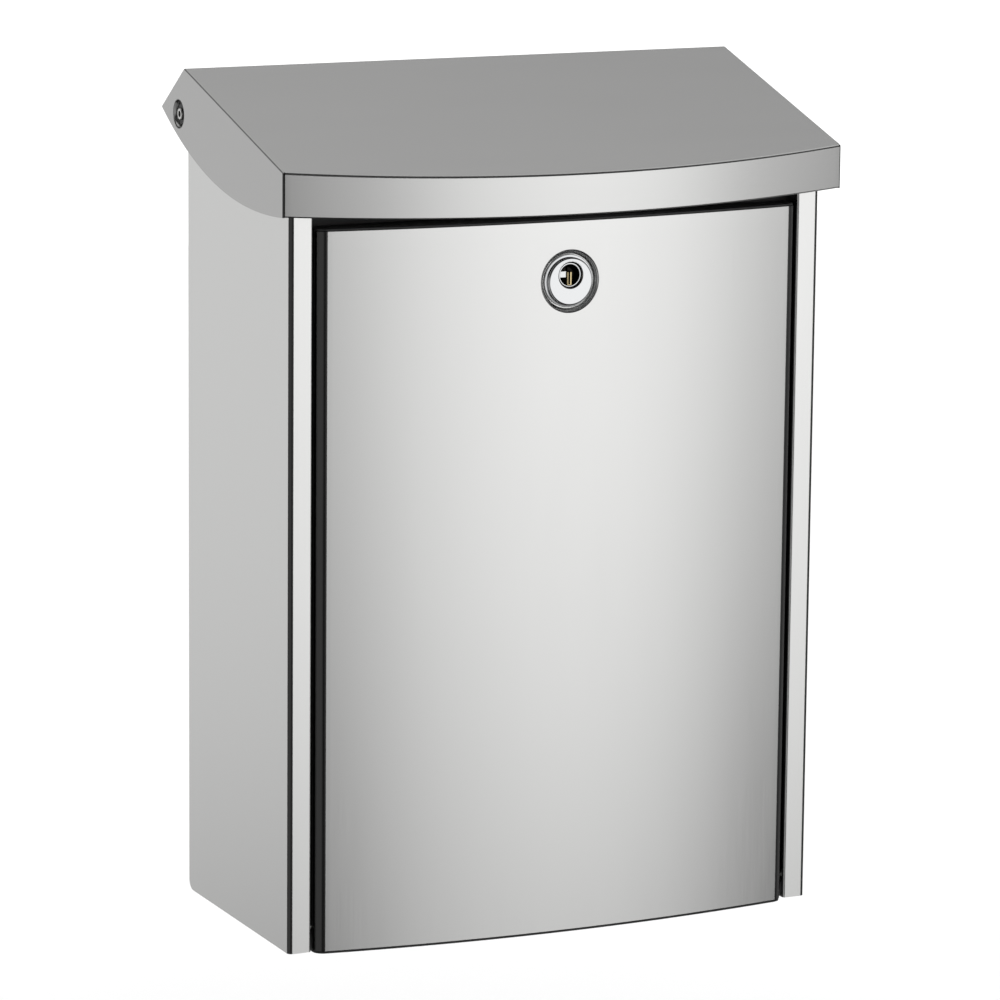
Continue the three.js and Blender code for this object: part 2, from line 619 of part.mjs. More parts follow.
function lockPlug() {
  const { width, height, depth, drop } = KEYWAY;
  const half = TAIL_SIDE / 2;
  const barrel = rod(plugRadius, plugFrontY, barrelBackY);
  const tail = block(-half, half, barrelBackY - LAP, camBackY, plugZ - half, plugZ + half);
  const dish = taper(DISH.rim, plugFrontY - HAIR, DISH.floor, plugFrontY + DISH.depth);
  const keyway = block(-width / 2, width / 2, plugFrontY - FAR, plugFrontY + depth,
    plugZ - height / 2 - drop, plugZ + height / 2 - drop);
  const tapping = rod(SCREW_RADIUS + FIT, camBackY - SCREW_LENGTH - FIT, camBackY + FAR);
  return turnedY(barrel, 0, plugZ)
    .add(tail)
    .subtract(turnedY(dish, 0, plugZ))
    .subtract(keyway)
    .subtract(turnedY(tapping, 0, plugZ, SMALL_STEPS));
}

// Cam at rest points to -X, unlocked; a quarter turn lifts it behind the crossbar.
function lockCam() {
  const reach = barFootZ + CAM_OVERLAP - plugZ;
  const half = CAM_WIDTH / 2;
  const arm = new THREE.Shape();
  arm.moveTo(-reach, plugZ - half + CAM_CHAMFER.rise);
  arm.lineTo(-reach + CAM_CHAMFER.run, plugZ - half);
  arm.lineTo(0, plugZ - half);
  arm.absarc(0, plugZ, half, -Math.PI / 2, Math.PI / 2, false);
  arm.lineTo(-reach + CAM_CHAMFER.run, plugZ + half);
  arm.lineTo(-reach, plugZ + half - CAM_CHAMFER.rise);
  arm.closePath();
  const eye = TAIL_SIDE / 2 + FIT;
  const hole = block(-eye, eye, camFrontY - FAR, camBackY + FAR, plugZ - eye, plugZ + eye);
  return fromFront(arm, camFrontY, camBackY).subtract(hole);
}

function camScrew() {
  const underY = camBackY + FIT;
  return turnedY([
    [0, camBackY - SCREW_LENGTH], [SCREW_RADIUS, camBackY - SCREW_LENGTH], [SCREW_RADIUS, underY],
    [SCREW_HEAD_RADIUS, underY], [SCREW_HEAD_RADIUS, underY + SCREW_HEAD - SCREW_CHAMFER],
    [SCREW_HEAD_RADIUS - SCREW_CHAMFER, underY + SCREW_HEAD], [0, underY + SCREW_HEAD],
  ], 0, plugZ, SMALL_STEPS);
}

// -------------------------------------------------------------------- assembly
const mailbox = new THREE.Group();
mailbox.position.z = -originZ;

function place(name, body, material) {
  const mesh = new THREE.Mesh(geometryOf(body), material);
  mesh.name = name;
  mailbox.add(mesh);
}

function placePair(name, body, material) {
  place(`${name}_right`, body, material());
  place(`${name}_left`, mirrored(body), material());
}

placePair('side_panel', sidePanel(), steel);
place('back_plate', backPlate(), steel());
place('floor_tray', floorTray(), steel());
place('slot_crossbar', slotCrossbar(), blackPaint());
spacerPlaces().forEach((spot, i) => {
  const name = `wall_spacer_${spot.z > SPACER_LOW ? 'upper' : 'lower'}_${spot.x > 0 ? 'right' : 'left'}`;
  place(name, wallSpacer(spot), blackPlastic());
});
placePair('hood_pad', hoodPad(), rubber);
place('door_buffer_right', doorBuffer(1), rubber());
place('door_buffer_left', doorBuffer(-1), rubber());
placePair('hood_bush', hoodBush(), blackPlastic);
placePair('hood_washer', hoodWasher(), blackPlastic);
placePair('hood_rivet', hoodRivet(), steel);
place('hood_shell', hoodShell(), steel());
place('door_frame', doorFrame(), blackPlastic());
place('door_skin', doorSkin(), steel());
placePair('hinge_pin', hingePin(), steel);
place('lock_body', lockBody(), chrome());
place('lock_nut', lockNut(), zinc());
place('lock_plug', lockPlug(), brass());
place('lock_cam', lockCam(), zinc());
place('cam_screw', camScrew(), zinc());

export default mailbox;
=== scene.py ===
"""Wall mounted mailbox: the visible pieces and their finishes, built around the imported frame."""
import json
from math import asin, atan2, cos, hypot, pi, radians, sin, tan

import bmesh
import bpy
from bpy.props import FloatProperty, PointerProperty, StringProperty
from mathutils import Matrix, Vector


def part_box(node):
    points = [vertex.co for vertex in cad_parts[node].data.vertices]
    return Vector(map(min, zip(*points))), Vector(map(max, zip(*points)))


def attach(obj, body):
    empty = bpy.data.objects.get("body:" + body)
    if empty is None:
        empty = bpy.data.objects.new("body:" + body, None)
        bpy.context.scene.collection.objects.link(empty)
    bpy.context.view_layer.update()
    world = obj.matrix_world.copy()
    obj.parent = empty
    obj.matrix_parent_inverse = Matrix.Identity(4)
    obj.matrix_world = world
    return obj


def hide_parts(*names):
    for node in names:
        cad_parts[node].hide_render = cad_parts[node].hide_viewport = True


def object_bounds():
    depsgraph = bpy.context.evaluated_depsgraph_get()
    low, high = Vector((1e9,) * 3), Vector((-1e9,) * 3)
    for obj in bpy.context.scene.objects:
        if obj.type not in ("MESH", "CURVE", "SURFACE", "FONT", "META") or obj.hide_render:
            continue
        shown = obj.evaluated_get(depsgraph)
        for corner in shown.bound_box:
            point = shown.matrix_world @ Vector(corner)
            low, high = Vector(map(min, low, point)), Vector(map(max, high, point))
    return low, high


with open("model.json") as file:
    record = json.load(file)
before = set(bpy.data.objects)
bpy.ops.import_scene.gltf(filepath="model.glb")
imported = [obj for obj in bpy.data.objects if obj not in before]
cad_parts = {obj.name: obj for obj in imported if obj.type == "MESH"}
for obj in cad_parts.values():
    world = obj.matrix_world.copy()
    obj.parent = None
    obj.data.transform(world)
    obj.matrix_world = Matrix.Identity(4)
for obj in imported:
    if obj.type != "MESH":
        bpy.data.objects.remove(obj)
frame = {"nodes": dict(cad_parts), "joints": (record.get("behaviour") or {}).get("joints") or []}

bl_info = {
    "name": "Wall Mailbox",
    "version": (1, 0, 0),
    "blender": (4, 5, 0),
    "location": "3D View > Sidebar > Mailbox",
    "description": "Builds a sheet steel wall mailbox piece by piece",
    "category": "Add Mesh",
}

MM = 0.001
CAD_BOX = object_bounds()
JOINTS = {joint["name"]: Vector(joint["pos_m"]) for joint in frame["joints"]}

# The frame's own places, in metres.
PANEL_LOW, PANEL_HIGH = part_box("side_panel_right")
HOOD_LOW, HOOD_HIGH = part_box("hood_shell")
SKIN_LOW, SKIN_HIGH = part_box("door_skin")
FRAME_LOW, FRAME_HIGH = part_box("door_frame")
LOCK_LOW, LOCK_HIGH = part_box("lock_body")
PLUG_LOW, PLUG_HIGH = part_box("lock_plug")
PIVOT = JOINTS["hood_hinge"]
PIN = JOINTS["door_hinge"]
PLUG_Z = JOINTS["lock_turn"].z
LOCK_Z = (LOCK_LOW.z + LOCK_HIGH.z) / 2

# The hood's side view: roof up to the ridge, and the back flange down to the heel.
ROOF_SLOPE = radians(15.45)
RIDGE = Vector((0, PIVOT.y - 7.3 * MM, HOOD_HIGH.z))
HEEL = Vector((0, HOOD_HIGH.y, HOOD_HIGH.z - 21.6 * MM))
FOOT_SLOPE = 0.21  # fall of the fascia's lower edge towards its middle, for each unit it stands ahead
HEM_BEND = 0.9 * MM
CHEEK_PULL = Vector((0, -50 * MM, -8.2 * MM))  # pulls the cheeks' lower edge, from the panels' rear

BARREL_HOLE = 9.3 * MM  # radius of the hole for the lock's barrel
WEB = 2 * MM  # thickness of the door frame's back
BOW_STEPS = 96  # edges along a bowed front
SMOOTH_BELOW = radians(32)  # faces that meet at a wider angle keep a sharp edge

# How much darker than the side panels' steel these faces are drawn, as a share: painted shade on the hood,
# deeper painted shade on its cheeks, and a painted dark reflection on tight bends.
ROOF_PAINTED_SHADE, CHEEK_PAINTED_SHADE, BEND_PAINTED_REFLECTION = -0.08, -0.33, -0.88

HAIR, NEAR = 1e-6, 1e-5  # metres: two places count as one, and a place counts as on a plane
CUT_REACH = 1e-7  # metres from a cutting plane within which a corner counts as on it
SLIVER = 0.1 * MM  # keeps a test of faces clear of the faces next to them


# ------------------------------------------------------------------- properties
def length(name, description, millimetres):
    return FloatProperty(name=name, description=description, default=millimetres * MM,
                         min=0.0, unit="LENGTH", subtype="DISTANCE")


def shade(name, description, hexcode):
    return StringProperty(name=name, description=description + ", as an sRGB hex value", default=hexcode)


class MailboxSizes(bpy.types.PropertyGroup):
    """Sizes that shape the pieces inside the frame's boxes."""
    sheet: length("Sheet", "Thickness of the housing's and the hood's steel", 1.0)
    skin: length("Door skin", "Thickness of the door's steel", 0.8)
    fit: length("Fit", "Gap between pieces that rest on each other", 0.3)
    panel_bend: length("Panel bend", "Outer radius of a side panel's front bend", 2.0)
    lip_bend: length("Lip bend", "Outer radius where the front flange turns inwards", 1.3)
    panel_corner: length("Panel corner", "Round at a side panel's rear bottom corner", 5.0)
    door_bow: length("Door bow", "How far the door's middle stands ahead of its edges", 9.7)
    door_corner: length("Door corner", "Round at the door skin's upright edges", 5.5)
    hood_bow: length("Hood bow", "How far the fascia's middle stands ahead of its ends", 17.0)
    hood_corner: length("Hood corner", "Round at the fascia's upright corners", 1.2)
    hood_fold: length("Hood fold", "Width of the fold between roof and fascia", 1.1)
    hem: length("Hem", "Return under the fascia", 5.0)
    recess: length("Lock recess", "Radius of the pressed recess round the lock", 14.7)
    recess_depth: length("Recess depth", "Depth of the pressed recess", 2.6)
    edge: length("Edge break", "Softening of a cut sheet edge", 0.15)


class MailboxFinish(bpy.types.PropertyGroup):
    """Colours of the finishes."""
    steel: shade("Steel", "Brushed stainless steel", "#CECECD")
    turned: shade("Turned steel", "Rivets and pins", "#C9C9C7")
    plastic: shade("Plastic", "Black moulded plastic", "#161617")
    coating: shade("Coating", "Black powder coat", "#19191A")
    rubber: shade("Rubber", "Black rubber", "#131313")
    chrome: shade("Chrome", "Chrome plate on the lock", "#C2C3C4")
    brass: shade("Brass", "Machined brass of the lock's plug", "#BFAE86")
    zinc: shade("Zinc", "Zinc plated steel", "#A9ADB1")
    floor: shade("Floor", "Studio floor", "#F4F4F4")


# --------------------------------------------------------------- modelling tools
def clear_selection():
    if bpy.context.mode != "OBJECT":
        leave_edit()
    bpy.ops.object.select_all(action="DESELECT")


def edit():
    bpy.ops.object.mode_set(mode="EDIT")


def leave_edit():
    bpy.ops.object.mode_set(mode="OBJECT")


def choose(made):
    """Makes a piece the active one, and the only one that is selected."""
    clear_selection()
    bpy.context.view_layer.objects.active = made
    made.select_set(True)


def placed(name):
    """Names the new primitive and lays its place into its mesh."""
    made = bpy.context.object
    made.name = made.data.name = name
    bpy.ops.object.transform_apply(location=True, rotation=True, scale=True)
    return made


def pick(made, test, kind="VERT"):
    """Selects, in edit mode, only the parts whose middle passes the test."""
    if bpy.context.mode != "EDIT_MESH":
        edit()
    bpy.ops.mesh.select_mode(type=kind)
    bpy.ops.mesh.select_all(action="DESELECT")
    mesh = bmesh.from_edit_mesh(made.data)
    if kind == "VERT":
        found = [v for v in mesh.verts if test(v.co)]
    elif kind == "EDGE":
        found = [e for e in mesh.edges if test((e.verts[0].co + e.verts[1].co) / 2)]
    else:
        found = [f for f in mesh.faces if test(f.calc_center_median())]
    for part in found:
        part.select_set(True)
    mesh.select_flush_mode()
    bmesh.update_edit_mesh(made.data)


def run(*step):
    bpy.ops.mesh.extrude_region_move(TRANSFORM_OT_translate={"value": step})


def bend(centre, angle, steps):
    """Sweeps the selected edges about an upright line through a plan point, anticlockwise from above."""
    bpy.ops.mesh.spin(steps=steps, angle=-angle, center=(centre[0], centre[1], 0), axis=(0, 0, 1))


def upright_sheet(name, start, end, low, high):
    """A flat sheet between two plan points, as the start of a folded one."""
    clear_selection()
    along = Vector(end) - Vector(start)
    middle = (Vector(start) + Vector(end)) / 2
    bpy.ops.mesh.primitive_plane_add(size=1, location=(middle.x, middle.y, (low + high) / 2),
                                     rotation=(pi / 2, 0, atan2(along.y, along.x)))
    bpy.context.object.scale = (along.length, high - low, 1)
    return placed(name)


def block(name, low, high):
    clear_selection()
    bpy.ops.mesh.primitive_cube_add(size=1, location=[(a + b) / 2 for a, b in zip(low, high)])
    bpy.context.object.scale = [b - a for a, b in zip(low, high)]
    return placed(name)


def outward(made, inside):
    """Merges doubles and turns all faces away from a point inside the piece."""
    edit()
    bpy.ops.mesh.select_all(action="SELECT")
    bpy.ops.mesh.remove_doubles(threshold=HAIR)
    bpy.ops.mesh.normals_make_consistent(inside=False)
    mesh = bmesh.from_edit_mesh(made.data)
    lean = sum(f.normal.dot(f.calc_center_median() - inside) * f.calc_area() for f in mesh.faces)
    if lean < 0:
        bpy.ops.mesh.flip_normals()
    leave_edit()


def cleaned(made, reach=HAIR):
    """Merges places within reach of each other and turns the faces outwards."""
    choose(made)
    edit()
    bpy.ops.mesh.select_all(action="SELECT")
    bpy.ops.mesh.remove_doubles(threshold=reach)
    bpy.ops.mesh.normals_make_consistent(inside=False)
    leave_edit()


def applied(made, kind, **settings):
    """Adds a modifier with its settings and applies it."""
    choose(made)
    bpy.ops.object.modifier_add(type=kind)
    modifier = made.modifiers[-1]
    for key, value in settings.items():
        setattr(modifier, key, value)
    bpy.ops.object.modifier_apply(modifier=modifier.name)


def cut(made, tool, operation="DIFFERENCE"):
    """Cuts, joins or trims a piece with a tool shape, which is then removed."""
    applied(made, "BOOLEAN", object=tool, operation=operation, solver="MANIFOLD")
    bpy.data.objects.remove(tool)


def trim(made, point, normal, test=None):
    """Cuts a plane through the piece, or the faces that pass the test, and drops what is beyond it."""
    if test:
        pick(made, test, "FACE")
    else:
        edit()
        bpy.ops.mesh.select_all(action="SELECT")
    bpy.ops.mesh.bisect(plane_co=point, plane_no=normal, clear_outer=True, threshold=CUT_REACH)


def split(made, point, normal):
    """Adds an edge loop where a plane crosses the piece."""
    bpy.ops.mesh.select_all(action="SELECT")
    bpy.ops.mesh.bisect(plane_co=point, plane_no=normal, threshold=CUT_REACH)


def lathe(name, profile, origin, axis="Y", steps=64, closed=False):
    """A turned piece. The profile holds (radius, distance along the axis); closed joins its ends."""
    clear_selection()
    turn = {"X": (0, pi / 2, 0), "Y": (-pi / 2, 0, 0), "Z": (0, 0, 0)}[axis]
    along = {"X": Vector((1, 0, 0)), "Y": Vector((0, 1, 0)), "Z": Vector((0, 0, 1))}[axis]
    spread = Vector((1, 1, 1)) - along
    start = list(profile) if closed else [p for p in profile if p[0] > 0]
    centre = Vector(origin) + along * start[0][1]
    bpy.ops.mesh.primitive_circle_add(vertices=steps, radius=start[0][0], location=centre, rotation=turn,
                                      fill_type="NOTHING" if closed else "TRIFAN")
    made = placed(name)
    edit()
    bpy.ops.mesh.select_mode(type="EDGE")
    if closed:
        bpy.ops.mesh.select_all(action="SELECT")
    else:
        pick(made, lambda p: (p - centre).length > 0.9 * start[0][0], "EDGE")
    radius, place = start[0]
    for new_radius, new_place in start[1:] + (start[:1] if closed else []):
        run(*(along * (new_place - place)))
        ratio = new_radius / radius
        bpy.ops.transform.resize(value=spread * ratio + along,
                                 center_override=Vector(origin) + along * new_place)
        radius, place = new_radius, new_place
    if not closed:
        bpy.ops.mesh.extrude_region_move(TRANSFORM_OT_translate={"value": (0, 0, 0)})
        bpy.ops.mesh.merge(type="CENTER")
    leave_edit()
    cleaned(made)
    return made


def rod(name, radius, start, end, axis, origin, steps=64):
    """A plain round tool for a cut or a joined boss."""
    return lathe(name, [(0, start), (radius, start), (radius, end), (0, end)], origin, axis, steps)


def rounded(corner, radius, before, after, steps):
    """Points of a small arc that softens a profile's corner."""
    corner, before, after = Vector(corner), Vector(before), Vector(after)
    to_before, to_after = (before - corner).normalized(), (after - corner).normalized()
    half = to_before.angle(to_after) / 2
    reach = radius / tan(half)
    centre = corner + (to_before + to_after).normalized() * (radius / sin(half))
    first = (corner + to_before * reach - centre).normalized()
    last = (corner + to_after * reach - centre).normalized()
    return [tuple(centre + first.slerp(last, i / steps) * radius) for i in range(steps + 1)]


def softened(profile, rounds, steps=4):
    """A turned profile with the corners named in rounds softened."""
    points = []
    for i, corner in enumerate(profile):
        if i in rounds:
            points += rounded(corner, rounds[i], profile[i - 1], profile[(i + 1) % len(profile)], steps)
        else:
            points.append(corner)
    return points


def smooth(made):
    """Smooth shading in which a flat face stays flat beside its rounded edges."""
    choose(made)
    bpy.ops.object.shade_smooth_by_angle(angle=SMOOTH_BELOW)
    applied(made, "WEIGHTED_NORMAL", keep_sharp=True, weight=60)


def broken_edges(made, width, angle=50, segments=2):
    """Takes the sharpness off the cut edges."""
    cleaned(made, 0.01 * MM)
    applied(made, "BEVEL", width=width, segments=segments, limit_method="ANGLE",
            angle_limit=radians(angle), harden_normals=False, use_clamp_overlap=True)


def copied(made, name):
    """A copy with its own mesh."""
    choose(made)
    bpy.ops.object.duplicate(linked=False)
    copy = bpy.context.object
    copy.name = copy.data.name = name
    return copy


def mirrored_copy(made, name):
    """The left-hand piece of a pair."""
    copy = copied(made, name)
    copy.scale.x = -1
    bpy.ops.object.transform_apply(location=True, rotation=True, scale=True)
    cleaned(copy)
    return copy


def moved_copy(made, name, offset):
    """The same piece in another place."""
    copy = copied(made, name)
    copy.location = offset
    bpy.ops.object.transform_apply(location=True, rotation=False, scale=False)
    return copy


def settled(made, body, node, material):
    """Puts a finished piece on its body in place of its CAD node."""
    clear_selection()
    made.data.materials.clear()
    made.data.materials.append(material)
    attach(made, body)
    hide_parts(node)


def painted(made, test, material):
    """Gives the faces that pass the test a finish of their own."""
    choose(made)
    made.data.materials.append(material)
    pick(made, test, "FACE")
    made.active_material_index = len(made.data.materials) - 1
    bpy.ops.object.material_slot_assign()
    leave_edit()


class BowedPlan:
    """A front that bows forward between two rounded corners, seen from above."""

    def __init__(self, half, edge_y, bow, corner):
        self.half, self.corner = half, corner
        self.radius = (half * half + bow * bow) / (2 * bow)
        self.centre_y = edge_y - bow + self.radius
        self.corner_x = half - corner
        self.angle = asin(self.corner_x / (self.radius - corner))
        self.corner_y = self.centre_y - (self.radius - corner) * cos(self.angle)

    def y(self, x):
        """The front's place at x."""
        return self.centre_y - (self.radius ** 2 - x * x) ** 0.5

    def band(self, name, back_y, low, high, corner_steps):
        """The upright sheet that runs from the right side, round the front, to the left side."""
        made = upright_sheet(name, (self.half, back_y), (self.half, self.corner_y), low, high)
        pick(made, lambda p: p.y < self.corner_y + HAIR, "EDGE")
        bend((self.corner_x, self.corner_y), -(pi / 2 - self.angle), corner_steps)
        bend((0, self.centre_y), -2 * self.angle, BOW_STEPS)
        bend((-self.corner_x, self.corner_y), -(pi / 2 - self.angle), corner_steps)
        run(0, back_y - self.corner_y, 0)
        leave_edit()
        return made


# -------------------------------------------------------------------- materials
def linear(hexcode):
    """An sRGB hex colour as linear RGBA."""
    values = [int(hexcode[i:i + 2], 16) / 255 for i in (1, 3, 5)]
    return tuple(v / 12.92 if v <= 0.04045 else ((v + 0.055) / 1.055) ** 2.4 for v in values) + (1.0,)


def node(tree, kind, inputs=None, **settings):
    """Adds a node with its settings, and gives its inputs their values or links."""
    made = tree.nodes.new(kind)
    for key, value in settings.items():
        setattr(made, key, value)
    for key, value in (inputs or {}).items():
        if isinstance(value, bpy.types.NodeSocket):
            tree.links.new(value, made.inputs[key])
        else:
            made.inputs[key].default_value = value
    return made


def stops(ramp, *places):
    """Sets a colour ramp's stops from (position, grey) pairs."""
    elements = ramp.color_ramp.elements
    while len(elements) > 1:
        elements.remove(elements[-1])
    for i, (position, value) in enumerate(places):
        element = elements[0] if i == 0 else elements.new(position)
        element.position = position
        element.color = (value, value, value, 1)
    return ramp.outputs["Color"]


def tinted(colour, amount):
    """The colour made lighter or darker by a share."""
    return tuple(min(1.0, c * (1 + amount)) for c in colour[:3]) + (1.0,)


def blend(tree, factor, first, second):
    """Mixes two colours: a mix node has its colour inputs in places 6 and 7, and the output in place 2."""
    return node(tree, "ShaderNodeMix", {"Factor": factor, 6: first, 7: second}, data_type="RGBA").outputs[2]


def mixed_value(tree, factor, first, second):
    inputs = {"Factor": factor, "A": first, "B": second}
    return node(tree, "ShaderNodeMix", inputs, data_type="FLOAT").outputs[0]


def ranged(tree, value, start, end, low=0.0, high=1.0):
    """Maps start to end onto low to high."""
    inputs = {"Value": value, "From Min": start, "From Max": end, "To Min": low, "To Max": high}
    return node(tree, "ShaderNodeMapRange", inputs).outputs[0]


def noise(tree, place, scale, detail, roughness=0.5):
    inputs = {"Vector": place, "Scale": scale, "Detail": detail, "Roughness": roughness}
    return node(tree, "ShaderNodeTexNoise", inputs).outputs["Fac"]


def new_material(name):
    """An empty material and its node tree, or the finished one of that name and None."""
    made = bpy.data.materials.get(name)
    if made:
        return made, None
    made = bpy.data.materials.new(name)
    made.use_nodes = True
    made.node_tree.nodes.clear()
    return made, made.node_tree


def brushed_steel(name, grain, tone=0.0):
    """Stainless sheet, belt brushed to a satin: long fine lines that lie along the grain,
    a little uneven from one belt pass to the next. Tone makes it lighter or darker by a share."""
    made, tree = new_material(name)
    if not tree:
        return made
    finish = bpy.context.scene.mailbox_finish
    colour = tinted(linear(finish.steel), tone)
    line_spacing = 0.4 * MM  # real lines are about 0.1 mm apart: drawn coarser, so that they show
    line_length = 38 * MM
    pass_width = 14 * MM
    contrast = 0.035
    fine = [1 / (line_length if axis == grain else line_spacing) for axis in "XYZ"]
    broad = [1 / (8 * pass_width if axis == grain else pass_width) for axis in "XYZ"]
    place = node(tree, "ShaderNodeTexCoord").outputs["Object"]
    lines_at = node(tree, "ShaderNodeMapping", {"Vector": place, "Scale": fine}).outputs[0]
    lines = noise(tree, lines_at, 1.0, 3.0, 0.6)
    passes_at = node(tree, "ShaderNodeMapping", {"Vector": place, "Scale": broad}).outputs[0]
    passes = noise(tree, passes_at, 1.0, 2.0)
    mixed = mixed_value(tree, 0.35, lines, passes)
    spread = ranged(tree, mixed, 0.3, 0.7)
    base = blend(tree, spread, tinted(colour, -contrast), tinted(colour, contrast))
    rough = ranged(tree, mixed, 0.3, 0.7, 0.2, 0.25)
    bump = node(tree, "ShaderNodeBump", {"Height": lines, "Strength": 0.06, "Distance": 0.02 * MM})
    shader = node(tree, "ShaderNodeBsdfPrincipled", {
        "Base Color": base, "Metallic": 1.0, "Roughness": rough, "Normal": bump.outputs[0]})
    node(tree, "ShaderNodeOutputMaterial", {"Surface": shader.outputs[0]})
    return made


def bend_painted_reflection_steel():
    """The same sheet round a tight bend, drawn much darker: a painted dark reflection of the
    surroundings that such a narrow curve mirrors."""
    return brushed_steel("brushed stainless, tight bend, painted dark reflection", "Z", BEND_PAINTED_REFLECTION)


def grained(name, colour, metallic, roughness, spread, grain_size, depth, tone=0.06):
    """A plain finish with a fine even grain, whose size and depth are in metres. Spread is how far
    the roughness strays, and tone how far the colour does."""
    made, tree = new_material(name)
    if not tree:
        return made
    place = node(tree, "ShaderNodeTexCoord").outputs["Object"]
    grain = noise(tree, place, 1 / grain_size, 3.0)
    cloud = noise(tree, place, 0.08 / grain_size, 2.0)
    mixed = mixed_value(tree, 0.5, grain, cloud)
    base = blend(tree, mixed, tinted(colour, -tone), tinted(colour, tone))
    rough = ranged(tree, mixed, 0.3, 0.7, roughness - spread, roughness + spread)
    bump = node(tree, "ShaderNodeBump", {"Height": grain, "Strength": 0.3, "Distance": depth})
    shader = node(tree, "ShaderNodeBsdfPrincipled", {
        "Base Color": base, "Metallic": metallic, "Roughness": rough, "Normal": bump.outputs[0]})
    node(tree, "ShaderNodeOutputMaterial", {"Surface": shader.outputs[0]})
    return made


def finishes():
    """All finishes by the record's slot names, with the steel's grain upright."""
    f = bpy.context.scene.mailbox_finish
    chrome, black, zinc = linear(f.chrome), linear(f.plastic), linear(f.zinc)
    return {
        "brushed_steel": brushed_steel("brushed stainless, upright grain", "Z"),
        # Turned on a lathe: bright, with fine tool marks.
        "bright_steel": grained("turned stainless", linear(f.turned), 1.0, 0.24, 0.05, 0.4 * MM, 0.01 * MM),
        # Injection moulded ABS with a fine spark eroded texture: satin black.
        "black_plastic": grained("moulded black ABS", black, 0.0, 0.42, 0.05, 0.5 * MM, 0.02 * MM),
        # Powder coat: a slow orange peel under a matt black.
        "black_coating": grained("black powder coat", linear(f.coating), 0.0, 0.5, 0.04, 1.6 * MM, 0.04 * MM),
        # Moulded rubber: dull, and a little dusty.
        "rubber": grained("black rubber", linear(f.rubber), 0.0, 0.8, 0.06, 0.7 * MM, 0.03 * MM, 0.15),
        # Bright chrome over a die casting: mirror-like, with the faint waves of polishing.
        "lock_chrome": grained("polished chrome plate", chrome, 1.0, 0.07, 0.02, 6 * MM, 0.01 * MM, 0.02),
        # Machined brass under thin nickel: warm, with tool marks.
        "lock_brass": grained("machined brass", linear(f.brass), 1.0, 0.22, 0.05, 0.6 * MM, 0.01 * MM),
        # Zinc plate on steel: greyer and duller, faintly cloudy.
        "zinc_plate": grained("zinc plated steel", zinc, 1.0, 0.38, 0.06, 1.2 * MM, 0.01 * MM, 0.08),
    }


# --------------------------------------------------------------------- operators
class PieceOperator:
    """Builds with the scene's sizes. The build function comes from each operator."""
    bl_options = {"REGISTER", "UNDO"}

    def execute(self, context):
        self.build(context.scene.mailbox_sizes)
        clear_selection()
        return {"FINISHED"}


class MAILBOX_OT_side_panels(PieceOperator, bpy.types.Operator):
    """Side panels, folded at the front into a flange and a lip"""
    bl_idname = "mailbox.side_panels"
    bl_label = "Side panels"

    def build(self, size):
        half, front = PANEL_HIGH.x, PANEL_LOW.y
        rear, foot, lip_x = PANEL_HIGH.y, PANEL_LOW.z, PANEL_LOW.x
        lip_back = front + 10 * MM
        rivet_hole, pin_hole, deep = 2.6 * MM, 2.2 * MM, 5 * MM
        fold, lip = size.panel_bend, size.lip_bend
        in_bend = lambda p: abs(p.x) > half - fold + SLIVER and p.y < front + fold - SLIVER
        start, end = (half, rear), (half, front + fold)
        panel = upright_sheet("side_panel_right_folded", start, end, foot, HOOD_HIGH.z)
        pick(panel, lambda p: p.y < front + fold + HAIR, "EDGE")
        bend((half - fold, front + fold), -pi / 2, 8)
        run(lip_x + lip - (half - fold), 0, 0)
        bend((lip_x + lip, front + lip), -pi / 2, 6)
        run(0, lip_back - front - lip, 0)
        leave_edit()
        inside = Vector((half - 6 * MM, front + 30 * MM, 0))
        outward(panel, inside)
        # The top edge follows the roof, and drops at the rear towards the pivot.
        crown_setback, rear_rise = 14 * MM, 6.4 * MM
        crown = Vector((0, rear - crown_setback, PANEL_HIGH.z))
        fall = Vector((0, rear, PIVOT.z + rear_rise)) - crown
        trim(panel, crown, (0, -sin(ROOF_SLOPE), cos(ROOF_SLOPE)))
        trim(panel, crown, (0, -fall.z, fall.y))
        pick(panel, lambda p: p.y > rear - NEAR and p.z < foot + NEAR)
        bpy.ops.mesh.bevel(offset=size.panel_corner, segments=8, affect="VERTICES")
        leave_edit()
        applied(panel, "SOLIDIFY", thickness=size.sheet, offset=-1, use_even_offset=True)
        for radius, place, x in ((rivet_hole, PIVOT, half), (pin_hole, PIN, lip_x)):
            cut(panel, rod("drill", radius, -deep, deep, "X", (x, place.y, place.z), 32))
        broken_edges(panel, size.edge)
        smooth(panel)
        steel = finishes()["brushed_steel"]
        left = mirrored_copy(panel, "side_panel_left_folded")
        smooth(left)
        settled(panel, "housing", "side_panel_right", steel)
        settled(left, "housing", "side_panel_left", steel)
        # The front bends get a painted dark reflection.
        for piece in (panel, left):
            painted(piece, in_bend, bend_painted_reflection_steel())


